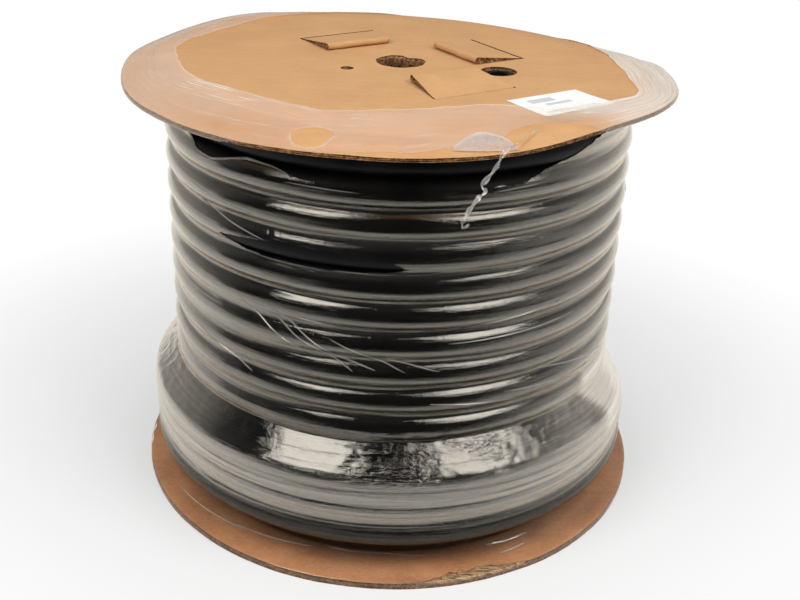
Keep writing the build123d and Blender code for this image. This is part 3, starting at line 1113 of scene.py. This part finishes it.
# Crumpled scrap of film at the front: angle, inner and outer radius in millimetres
SCRAP = (
    (-80, 262, 266), (-77, 248, 268), (-74, 237, 270), (-71.5, 238, 272), (-69.5, 252, 273),
    (-68.5, 268, 273.5),
)
SCRAP_GRID = (60, 22)

# Bare patch in the lap: its middle and its radius
BARE_PATCH = (-0.069, -0.242, 0.0175)

# Gathers beside the lap's inner edge: their band in degrees, and each one's distance and strength
GATHERS = (-158.0, 9, -105.0, 6)
GATHER_LINES = ((0.0035, 1.0), (0.007, 0.7), (0.0115, 0.9), (0.0165, 0.5), (0.022, 0.6), (0.029, 0.4))


def lap_outer(degrees):
    """Outer edge of the lap: over the rim, but short of it along the front."""
    edge = np.interp(degrees, *zip(*LAP_OUTER))
    ragged = 1.2 * noise(degrees / 2.5, 4.5, 71) + 0.8 * noise(degrees / 0.9, 2.5, 71)
    return MM * np.minimum(edge + np.where(edge < LAP_RIM - 0.5, ragged, 0), LAP_RIM)


def lap_relief(degrees, share):
    """Wrinkles of the lap: streaks along its edge and a gathered hem."""
    u = np.radians(degrees) * LAP_RADIUS
    streaks = np.abs(noise(u / 0.07, share * 17 + 0.6 * noise(u / 0.2, share * 2, 73), 72))
    hem = np.exp(-((1 - share) / 0.06) ** 2) * (0.5 + 0.5 * noise(u / 0.02, share * 3, 74))
    return MM * (0.35 * streaks + 0.9 * np.clip(hem, 0, 1))


def lap_creases(degrees, inward):
    """Pale creases of the lap: a line along its inner edge, gathers beside it and long fine pulls."""
    u = np.radians(degrees) * LAP_RADIUS
    sway = 0.0012 * noise(u / 0.05, 0.5, 85)
    edge = 0.55 * np.exp(-(inward / 0.0012) ** 2)
    lines = np.zeros_like(inward)
    for number, (at, strength) in enumerate(GATHER_LINES):
        away = inward - at - sway * (1 + number)
        fade = np.clip(0.55 + 0.9 * noise(u / 0.025, number + 0.5, 86), 0, 1)
        lines = np.maximum(lines, strength * fade * np.exp(-(away / 0.0009) ** 2))
    pulls = np.clip(fold(noise(u / 0.11, (inward + sway) / 0.0055, 87), 10) - 0.25, 0, 1)
    pulls = pulls * np.clip(0.2 + noise(u / 0.06, inward / 0.03, 88), 0, 1)
    return np.clip(edge + between(degrees, *GATHERS) * lines + 0.8 * pulls, 0, 1)


def build_lap():
    """Film that reaches over the top flange's rim, with a bare patch and pale creases."""
    columns, rows = LAP_GRID
    angles = np.linspace(-270, 90, columns, endpoint=False)
    wrapped = signed(angles)
    outer = lap_outer(wrapped)[:, None]
    edge = by_angle(LAP_EDGE, wrapped, 2.5) * MM + MM * (1.5 * noise(wrapped / 3.0, 0.5, 75, 120))
    share = 1 - (1 - np.linspace(0, 1, rows)[None]) ** 1.5
    radii = outer * (1 - share) + edge[:, None] * share
    degrees = np.broadcast_to(wrapped[:, None], radii.shape)
    x, y = radii * np.cos(np.radians(degrees)), radii * np.sin(np.radians(degrees))
    creases = lap_creases(degrees, radii - edge[:, None])
    ring = np.hypot(x - BARE_PATCH[0], y - BARE_PATCH[1]) - BARE_PATCH[2]
    clouded = 0.75 * between(degrees, *LAP_CLOUD) + 0.10 * smooth((SCUFFED_FROM - degrees) / 14)
    relief = lap_relief(degrees, share) + 0.0005 * creases
    heights = top_surface(radii, degrees) + LAP_LIFT + relief
    obj = film_grid("film_lap", np.radians(angles), radii, heights, shadow=False)
    mark(obj, "loose", clouded + np.maximum(creases, 0.30 * np.exp(-(ring / 0.002) ** 2)))
    cut_patch(obj)
    return obj


def build_scrap():
    """Torn, crumpled scrap of film on the front of the top flange."""
    columns, rows = SCRAP_GRID
    angles, inner, outer = (np.array(values) for values in zip(*SCRAP))
    degrees = np.linspace(angles[0], angles[-1], columns)[:, None]
    share = np.linspace(1, 0, rows)[None]
    inner, outer = (np.interp(degrees, angles, edge) * MM for edge in (inner, outer))
    radii = inner * (1 - share) + outer * share
    full = np.broadcast_to(degrees, radii.shape)
    coarse, fine = noise(full / 1.3, radii / 0.006, 91), noise(full / 0.6, radii / 0.003, 92)
    creases = fold(coarse, 2) + 0.6 * fold(fine, 2)
    middle = np.sin(np.pi * np.linspace(0, 1, columns))[:, None] * np.sin(np.pi * np.clip(share, 0.05, 0.95))
    crumpled = MM * (0.9 * creases + 0.4) * (0.25 + 0.75 * middle)
    heights = top_surface(radii, full) + SCRAP_LIFT + crumpled
    return film_grid("film_scrap", np.radians(degrees[:, 0]), radii, heights, wrap=False)


def cut_patch(obj):
    """Opens a bare patch in the lap."""
    cx, cy, size = BARE_PATCH
    bm = bmesh.new()
    bm.from_mesh(obj.data)
    middles = [(face, face.calc_center_median()) for face in bm.faces]
    doomed = [face for face, m in middles if math.hypot(m.x - cx, m.y - cy) < size]
    bmesh.ops.delete(bm, geom=doomed, context="FACES")
    for v in bm.verts:
        away = Vector((v.co.x - cx, v.co.y - cy))
        if v.is_boundary and away.length < size * 1.3:
            a = math.atan2(away.y, away.x)
            reach = size * (1 + 0.05 * math.sin(3 * a) + 0.04 * math.sin(5 * a + 1))
            v.co.x, v.co.y = cx + reach * math.cos(a), cy + reach * math.sin(a)
    bm.to_mesh(obj.data)
    bm.free()


def rim_film_ends(middle):
    """Whether points lie past the slanted, ragged ends of the film on the rim."""
    start, end = RIM_GAP
    angle = angle_of(middle)
    slant = RIM_SLANT * (RIM_TOP - middle[:, 2]) / BOARD
    back = slant + 1.5 * noise(middle[:, 2] / 0.002, 0.5, 79)
    return ((angle - end + RIM_OVERLAP) % 360 < back) | ((start + RIM_OVERLAP - angle) % 360 < back)


def build_rim_film():
    """Film under the top flange and round its rim, where the lap reaches over it."""
    start, end = RIM_GAP
    degrees = np.linspace(end - RIM_OVERLAP, 360 + start + RIM_OVERLAP, FILM_COLUMNS)
    below, beside, on_top = RIM_OUT
    rows = []
    for s in np.linspace(0, 1, 7):
        r = RIM_START * (1 - s) + (FLANGE_R + below) * s
        under = TOP_INSIDE + flange_lift(r, degrees)
        rows.append((r, under - RIM_LIFT - MM * 0.2 * np.abs(noise(degrees / 2, s * 4, 77))))
    rim = FLANGE_R + beside + MM * 0.25 * np.abs(noise(degrees / 2.0, 0.5, 78))
    thickness = BOARD - rim_crush(FLANGE_R, degrees)
    for s in (0.1, 0.5, 0.9):
        rows.append((rim, TOP_INSIDE + thickness * s + flange_lift(FLANGE_R, degrees)))
    rows.append((FLANGE_R + on_top, top_surface(FLANGE_R, degrees) + RIM_LIFT))
    return film_grid("film_rim", np.radians(degrees), *stacked(rows, degrees), wrap=False,
                     cut=rim_film_ends, shadow=False)


# Line of the film's twisted end, from the top flange over its rim and down
TAIL_POINTS = (
    (0.116, -0.222, 0.4474), (0.105, -0.240, 0.4466), (0.093, -0.258, 0.4445), (0.0865, -0.2675, 0.4420),
    (0.083, -0.2705, 0.4345), (0.077, -0.2675, 0.4225), (0.070, -0.2655, 0.4120),
    (0.0745, -0.2645, 0.4085), (0.069, -0.2635, 0.4020), (0.063, -0.2640, 0.3940),
    (0.0585, -0.2650, 0.3840), (0.0560, -0.2655, 0.3765), (0.0590, -0.2655, 0.3745),
    (0.0625, -0.2650, 0.3790),
)
TAIL_FACING = (0.3, -1.0, 0.15)
TAIL_ACROSS = np.linspace(-1, 1, 7)


def tail_path():
    """Smooth line through the points of the film's twisted end."""
    curve = bpy.data.curves.new("tail_path", "CURVE")
    curve.dimensions = "3D"
    spline = curve.splines.new("NURBS")
    spline.points.add(len(TAIL_POINTS) - 1)
    for point, co in zip(spline.points, TAIL_POINTS):
        point.co = (*co, 1)
    spline.order_u = 3
    spline.use_endpoint_u = True
    spline.resolution_u = 14
    holder = bpy.data.objects.new("tail_path", curve)
    path = np.array([v.co for v in bpy.data.meshes.new_from_object(holder).vertices])
    bpy.data.objects.remove(holder)
    return path


def build_film_tail():
    """Twisted end of the film that hangs over the front rim."""
    path = tail_path()
    share = np.linspace(0, 1, len(path))
    along = np.gradient(path, axis=0)
    along /= np.linalg.norm(along, axis=1)[:, None]
    side = np.cross(along, np.array(TAIL_FACING))
    side /= np.linalg.norm(side, axis=1)[:, None]
    up = np.cross(side, along)
    twist = (9.0 * share + 0.8 * np.sin(share * 40))[:, None]
    half = MM * (0.7 + 1.7 * np.sin(np.pi * share) ** 0.7 + 0.35 * np.sin(share * 33 + 1))
    flat = np.cos(twist) * side + np.sin(twist) * up
    raised = np.cross(along, flat)
    curl = 0.35 * np.sin(3 * TAIL_ACROSS + share[:, None] * 20)
    spread = flat[:, None] * TAIL_ACROSS[:, None] + raised[:, None] * curl[:, :, None]
    points = path[:, None] + half[:, None, None] * spread
    faces, places = grid_faces(len(path), len(TAIL_ACROSS))
    uv = places * np.array([0.002, 0.0015])
    return piece("film_tail", points.reshape(-1, 3), faces, uv, slot="clear_film")


# Label

LABEL_SIZE = (0.082, 0.057)
LABEL_GRID = (41, 29)
LABEL_RADIUS = 0.197
LABEL_ANGLE = -41.4
LABEL_TURN = 34.0
LABEL_LIFT = 0.0003

# Bars on the label: left, right, lower and upper edge as shares of its size
LABEL_BARS = ((0.18, 0.52, 0.66, 0.84), (0.30, 0.66, 0.48, 0.58), (0.10, 0.80, 0.16, 0.20))


def build_label():
    """Paper that lies on the warped flange with a slight ripple."""
    columns, rows = LABEL_GRID
    cx, cy = polar(LABEL_RADIUS, LABEL_ANGLE)
    c, s = polar(1.0, LABEL_TURN)
    points = []
    for a in np.linspace(-0.5, 0.5, columns) * LABEL_SIZE[0]:
        for b in np.linspace(-0.5, 0.5, rows) * LABEL_SIZE[1]:
            x, y = cx + a * c - b * s, cy + a * s + b * c
            lift = at_point(flange_lift, (x, y))
            ripple = 0.12 * noise(np.array(a / 0.012), np.array(b / 0.02), 81)
            points.append((x, y, TOP_FACE + lift + LABEL_LIFT + MM * abs(float(ripple))))
    faces, places = grid_faces(columns, rows)
    uv = places / np.array([columns - 1, rows - 1])
    return piece("label_sheet", points, faces, uv, slot="label_paper", replaces=["label"])


# Materials

FILM_IOR = 1.5
FILM_GLOSS = (0.97, 0.90, 0.79)
FILM_CLEAR = (0.96, 0.96, 0.95)
CRINKLE_DEPTH = 4.2

# Looks of the board's faces: colour, dark and light mottling in display values, and the flutes' washboard.
# The bottom board's darker look is partly its own liner and partly painted shade
BOARD_LOOKS = {
    "kraft_top": ((203, 157, 108), (189, 141, 93), (213, 170, 123), 0.30),
    "kraft_bottom": ((197, 144, 96), (162, 107, 62), (222, 172, 124), 0.25),
}

# Looks of the board's raw edges: colour and dark pulp in display values, and the grain's cells in a metre. On
# the torn flutes the dark streaks are partly the pulp's tone and partly painted shade in their grooves
EDGE_LOOKS = {
    "board_edge": ((186, 140, 96), (78, 53, 33), (420.0, 420.0, 420.0)),
    "board_torn": ((222, 184, 132), (92, 60, 34), (90.0, 700.0, 500.0)),
}

# Looks of the film: tint, haze, haze of its lines, wraps, veil on its gloss, roughness, relief and the
# haze where it is loose
FILM_LOOKS = {
    "side": ((0.66, 0.60, 0.52), 0.001, 0.045, 3.8, 0.02, 0.03, 0.0006, 0.08),
    "low": ((0.74, 0.70, 0.63), 0.01, 0.14, 7.5, 0.04, 0.03, 0.0012, 0.09),
    "foot": ((0.80, 0.72, 0.62), 0.05, 0.08, 1.0, 0.2, 0.10, 0.0004, 0.40),
    "lap": ((0.79, 0.73, 0.64), 0.17, 0.36, 1.0, 0.4, 0.22, 0.0008, 0.70),
    "scrap": ((0.90, 0.87, 0.83), 0.45, 0.45, 1.0, 0.6, 0.25, 0.0008, 0.0),
    "tail": ((0.90, 0.89, 0.87), 0.35, 0.30, 4.0, 0.1, 0.10, 0.0006, 0.0),
}


class Look:
    """Nodes of a material or of the world, with short ways to add them. Each way gives an output."""

    def __init__(self, owner):
        owner.use_nodes = True
        self.owner, self.tree = owner, owner.node_tree
        self.tree.nodes.clear()

    def add(self, kind, inputs=None, output=0, **settings):
        """Node with its settings and inputs: a value sets a socket, and another node's output is linked."""
        made = self.tree.nodes.new("ShaderNode" + kind)
        for key, value in settings.items():
            setattr(made, key, value)
        for key, value in (inputs or {}).items():
            if isinstance(value, bpy.types.NodeSocket):
                self.tree.links.new(value, made.inputs[key])
            else:
                made.inputs[key].default_value = value
        return made.outputs[output] if len(made.outputs) else made

    def finish(self, shader):
        self.add("OutputMaterial", {"Surface": shader})
        return self.owner

    def coords(self, kind):
        return self.add("TexCoord", output=kind)

    def parts(self, vector):
        """The three parts of a vector."""
        return self.add("SeparateXYZ", {0: vector}).node.outputs[:3]

    def rays(self):
        """Whether a ray comes from the camera, from a glossy face or through a clear one."""
        path = self.add("LightPath").node.outputs
        return [path[f"Is {kind} Ray"] for kind in ("Camera", "Glossy", "Transmission")]

    def kept(self, name):
        """Number kept for each point of a mesh."""
        return self.add("Attribute", output="Fac", attribute_name=name)

    def math(self, operation, a, b=0.5, clamp=False):
        return self.add("Math", {0: a, 1: b}, operation=operation, use_clamp=clamp)

    def times(self, a, b):
        return self.math("MULTIPLY", a, b)

    def plus(self, a, b, clamp=False):
        return self.math("ADD", a, b, clamp)

    def larger(self, a, b):
        return self.math("MAXIMUM", a, b)

    def ramp(self, value, low, high, out_low=0.0, out_high=1.0):
        return self.add("MapRange", {0: value, 1: low, 2: high, 3: out_low, 4: out_high})

    def noise(self, coords, scale, detail=4.0, rough=0.55, distort=0.0):
        """Noise of a number of cells in a metre, or of three numbers where it is stretched."""
        if isinstance(scale, tuple):
            coords, scale = self.add("Mapping", {"Vector": coords, "Scale": scale}), 1.0
        return self.add("TexNoise", {"Vector": coords, "Scale": scale, "Detail": detail, "Roughness": rough,
                                     "Distortion": distort})

    def blend(self, share, a, b):
        """Mix of two colours."""
        return self.add("Mix", {0: share, 6: a, 7: b}, output=2, data_type="RGBA")

    def mix(self, share, a, b):
        """Mix of two shaders."""
        return self.add("MixShader", {0: share, 1: a, 2: b})

    def bump(self, height, strength, distance):
        return self.add("Bump", {"Height": height, "Strength": strength, "Distance": distance})

    def solid(self, colour, roughness, normal=None, specular=0.5):
        inputs = {"Base Color": colour, "Roughness": roughness, "Specular IOR Level": specular}
        return self.add("BsdfPrincipled", inputs if normal is None else {**inputs, "Normal": normal})


def srgb(r, g, b):
    """Linear colour from 8-bit display values."""
    return tuple(((c / 255 + 0.055) / 1.055) ** 2.4 for c in (r, g, b)) + (1.0,)


def board_material(name, colour, dark, light, washboard):
    """Kraft liner: mottled pulp, fine fibres and the faint washboard of the flutes under it."""
    look = Look(bpy.data.materials.new(name))
    colour, dark, light = srgb(*colour), srgb(*dark), srgb(*light)
    coords = look.coords("Object")
    mottle = look.noise(coords, 18.0, 5.0, 0.6)
    fibre = look.noise(coords, (260.0, 900.0, 500.0), 3.0)
    speck = look.noise(coords, 900.0, 1.0)
    streak = look.noise(coords, (7.0, 120.0, 60.0), 3.0)
    wave = look.add("TexWave", {"Vector": coords, "Scale": 20.4, "Distortion": 1.2, "Detail": 2.0,
                                "Detail Scale": 1.5}, output="Fac", bands_direction="Y")
    shade = look.blend(look.ramp(mottle, 0.3, 0.7), dark, colour)
    shade = look.blend(look.ramp(fibre, 0.35, 0.75, 0.0, 0.45), shade, light)
    shade = look.blend(look.times(wave, look.ramp(streak, 0.35, 0.75, 0.0, washboard)), shade, dark)
    shade = look.blend(look.ramp(speck, 0.68, 0.78, 0.0, 0.35), shade, dark)
    height = look.plus(look.times(wave, washboard), look.times(fibre, 0.3))
    bump = look.bump(height, 0.25, 0.0006)
    return look.finish(look.solid(shade, look.ramp(mottle, 0.3, 0.7, 0.62, 0.8), bump, 0.25))


def edge_material(name, colour, dark, grain):
    """Raw cut edge of the board, darker between its liners."""
    look = Look(bpy.data.materials.new(name))
    colour, dark = srgb(*colour), srgb(*dark)
    coords = look.coords("Object")
    pulp = look.noise(coords, grain, 4.0)
    mottle = look.noise(coords, 60.0, 3.0)
    shade = look.blend(look.ramp(pulp, 0.35, 0.7), dark, colour)
    shade = look.blend(look.ramp(mottle, 0.45, 0.7, 0.0, 0.5), shade, dark)
    return look.finish(look.solid(shade, 0.9, look.bump(pulp, 0.5, 0.0006), 0.1))


def rubber_material():
    """Black hose cover with the fine print of its wrapping."""
    look = Look(bpy.data.materials.new("hose_rubber_look"))
    coords = look.coords("Object")
    fine = look.noise(coords, 700.0, 3.0)
    soil = look.noise(coords, 25.0)
    shade = look.blend(look.ramp(soil, 0.35, 0.75), (0.004, 0.004, 0.0042, 1), (0.010, 0.010, 0.0102, 1))
    rough = look.ramp(soil, 0.3, 0.7, 0.34, 0.46)
    return look.finish(look.solid(shade, rough, look.bump(fine, 0.35, 0.0004), 0.10))


def film_material(name, tint, haze, streak_haze, layers, veil, rough, relief, loose_haze):
    """Clear stretch film in several wraps: strong gloss at low angles, faint haze, pale tension lines."""
    look = Look(bpy.data.materials.new(name))
    uv = look.coords("UV")
    lines = look.noise(uv, (9.0, 420.0, 1.0), 5.0, 0.65, 0.15)
    patches = look.noise(uv, (7.0, 22.0, 1.0), 3.0)
    crinkle = look.noise(uv, (60.0, 130.0, 1.0), 4.0, 0.6, 0.4)
    flecks = look.noise(uv, (90.0, 230.0, 1.0), 2.5, 0.6, 0.8)
    ridges = look.math("ABSOLUTE", look.math("SUBTRACT", flecks, 0.5))
    fine = look.times(ridges, look.times(look.kept("crinkle"), CRINKLE_DEPTH))
    height = look.plus(look.plus(lines, look.times(crinkle, 0.35)), fine)
    bump = look.bump(height, 0.55, relief)

    # This mark cuts the film near the bottom to one wrap's gloss and a fifth of its haze: painted shade
    painted_shade = look.kept("painted_shade")
    single = look.add("Fresnel", {"IOR": FILM_IOR, "Normal": bump})
    wraps = look.ramp(painted_shade, 0.0, 1.0, layers, 1.0)
    others = look.times(single, look.math("SUBTRACT", wraps, 1.0))
    share = look.math("DIVIDE", look.times(single, wraps), look.plus(others, 1.0))

    thin = look.ramp(lines, 0.60, 0.76, 0.0, streak_haze)
    cloud = look.ramp(patches, 0.35, 0.75, haze * 0.4, haze * 1.6)
    faint = look.times(look.plus(thin, cloud), look.ramp(painted_shade, 0.0, 1.0, 1.0, 0.2))
    uneven = look.ramp(lines, 0.3, 0.7, 0.5 * loose_haze, 1.5 * loose_haze)
    milky = look.plus(faint, look.times(look.kept("loose"), uneven), clamp=True)

    clear = look.add("BsdfTransparent", {"Color": (*FILM_CLEAR, 1)})
    pale = look.solid((*tint, 1), 0.35, bump)
    gloss = look.add("BsdfGlossy", {"Color": (*FILM_GLOSS, 1), "Roughness": rough, "Normal": bump})
    return look.finish(look.mix(share, look.mix(milky, clear, pale), look.mix(veil, gloss, pale)))


def label_material():
    """White paper with plain grey bars."""
    look = Look(bpy.data.materials.new("label_paper_look"))
    uv = look.coords("UV")
    u, v, _ = look.parts(uv)
    ink = 0.0
    for left, right, low, high in LABEL_BARS:
        inside = 1.0
        for value, start, end in ((u, left, right), (v, low, high)):
            inside = look.times(inside, look.math("GREATER_THAN", value, start))
            inside = look.times(inside, look.math("LESS_THAN", value, end))
        ink = look.plus(ink, inside, clamp=True)
    fibre = look.ramp(look.noise(uv, 60.0), 0.3, 0.7)
    paper = look.blend(fibre, (0.80, 0.80, 0.79, 1), (0.88, 0.88, 0.87, 1))
    shade = look.blend(look.times(ink, 0.55), paper, (0.30, 0.31, 0.33, 1))
    return look.finish(look.solid(shade, 0.55))


# Stage, lights and camera

FLOOR_SIZE = 6.0
FLOOR_PAINT = 0.86
FLOOR_DARK = (0.012, 0.012, 0.011)
AMBIENT = 0.36
CAMERA_AT = (0.0078, -1.1129, 0.7266)
CAMERA_ELEVATION = 26.32
CAMERA_ROLL = 2.02
LENS = 50.0
SENSOR = 36.0

# Lamps: place, target, size and power
LAMPS = {
    "left_box": ((-0.87, -0.93, 1.70), (0, 0, 0.22), (0.95, 1.25), 19),
    "right_box": ((1.02, -0.86, 1.68), (0, 0, 0.22), (1.15, 1.20), 20),
    "top_box": ((0.1, 0.7, 2.3), (0, 0, 0.3), (1.2, 0.9), 4),
}


def floor_material():
    """White floor that keeps the reel's shadow. What the film mirrors of it is dark in front of the reel."""
    look = Look(bpy.data.materials.new("floor_look"))
    camera, glossy, _ = look.rays()
    position = look.add("NewGeometry", output="Position")
    x, y, _ = look.parts(position)
    far = look.add("VectorMath", {0: position}, output="Value", operation="LENGTH")
    aside = look.ramp(look.math("ABSOLUTE", x), 0.95, 0.45)
    ahead = look.times(look.ramp(y, -0.40, -0.56), aside)
    beyond = look.times(look.ramp(far, 1.15, 1.70), look.ramp(y, 0.0, -0.35))
    mirrored = look.times(look.larger(ahead, beyond), glossy)
    paint = look.add("BsdfDiffuse", {"Color": (FLOOR_PAINT, FLOOR_PAINT, FLOOR_PAINT, 1)})
    glow = look.add("Emission", {"Color": (1, 1, 1, 1), "Strength": 1.0})
    white = look.mix(look.ramp(far, 0.28, 0.75, 0.30, 1.0), paint, glow)
    base = look.mix(look.larger(camera, glossy), paint, white)
    black = look.add("BsdfDiffuse", {"Color": (*FLOOR_DARK, 1)})
    return look.finish(look.mix(mirrored, base, black))


def build_floor():
    h = FLOOR_SIZE
    mesh = bpy.data.meshes.new("floor")
    mesh.from_pydata([(-h, -h, 0), (h, -h, 0), (h, h, 0), (-h, h, 0)], [], [(0, 1, 2, 3)])
    floor = bpy.data.objects.new("floor", mesh)
    bpy.context.scene.collection.objects.link(floor)
    paint(floor, floor_material())


def build_world():
    """White surroundings for the camera, and a room for the film to mirror: pale behind and on the right."""
    look = Look(bpy.data.worlds.new("studio"))
    camera, glossy, transmission = look.rays()
    x, y, z = look.parts(look.coords("Generated"))
    behind = look.ramp(y, -0.30, 0.38, 0.012, 0.60)
    right = look.ramp(x, 0.70, 0.96, 0.0, 0.72)
    above = look.ramp(z, 0.25, 0.80, 1.0, 0.12)
    mirrored = look.times(look.larger(behind, right), above)
    strength = look.add("Mix", {0: glossy, 2: AMBIENT, 3: mirrored})
    strength = look.add("Mix", {0: look.larger(camera, transmission), 2: strength, 3: 1.0})
    back = look.add("Background", {"Color": (1, 1, 1, 1), "Strength": strength})
    look.add("OutputWorld", {"Surface": back})
    bpy.context.scene.world = look.owner


def build_lights():
    for name, (place, target, size, power) in LAMPS.items():
        data = bpy.data.lights.new(name, "AREA")
        data.shape = "RECTANGLE"
        data.size, data.size_y = size
        data.energy = power
        lamp = bpy.data.objects.new(name, data)
        bpy.context.scene.collection.objects.link(lamp)
        lamp.location = place
        lamp.rotation_mode = "QUATERNION"
        lamp.rotation_quaternion = (Vector(target) - Vector(place)).to_track_quat("-Z", "Y")


def build_camera():
    data = bpy.data.cameras.new("camera")
    data.lens = LENS
    data.sensor_width = SENSOR
    data.clip_start = 0.01
    data.clip_end = 50.0
    camera = bpy.data.objects.new("camera", data)
    bpy.context.scene.collection.objects.link(camera)
    e, r = math.radians(CAMERA_ELEVATION), math.radians(CAMERA_ROLL)
    back = Vector((0, -math.cos(e), math.sin(e)))
    right = Vector((1, 0, 0))
    up = back.cross(right)
    across = math.cos(r) * right + math.sin(r) * up
    upright = -math.sin(r) * right + math.cos(r) * up
    turn = Matrix((across, upright, back)).transposed().to_4x4()
    camera.matrix_world = Matrix.Translation(CAMERA_AT) @ turn
    bpy.context.scene.camera = camera


def paint(obj, *materials):
    for material in materials:
        obj.data.materials.append(material)


def build_all():
    kraft, shaded = (board_material(name, *look) for name, look in BOARD_LOOKS.items())
    edge, torn = (edge_material(name, *look) for name, look in EDGE_LOOKS.items())
    rubber = rubber_material()
    film = {name: film_material(f"film_{name}_look", *look) for name, look in FILM_LOOKS.items()}
    paint(build_top_flange(), kraft, edge)
    paint(build_bottom_flange(), shaded, edge, torn)
    paint(build_core(), kraft, edge)
    paint(build_arbor_flap(), edge)
    paint(build_hose(), rubber)
    paint(build_inner_end(), rubber)
    coil, pleats, foot = build_side_film()
    for part, look in zip(coil, ("low", "side", "side")):
        paint(part, film[look])
    # This piece also holds painted highlights and painted glare, in the tail's pale film
    paint(pleats, film["tail"])
    paint(foot, film["foot"])
    paint(build_lap(), film["lap"])
    paint(build_rim_film(), film["lap"])
    paint(build_scrap(), film["scrap"])
    paint(build_film_tail(), film["tail"])
    paint(build_label(), label_material())


bpy.context.scene.view_settings.view_transform = "Standard"
build_all()
build_floor()
build_world()
build_lights()
build_camera()
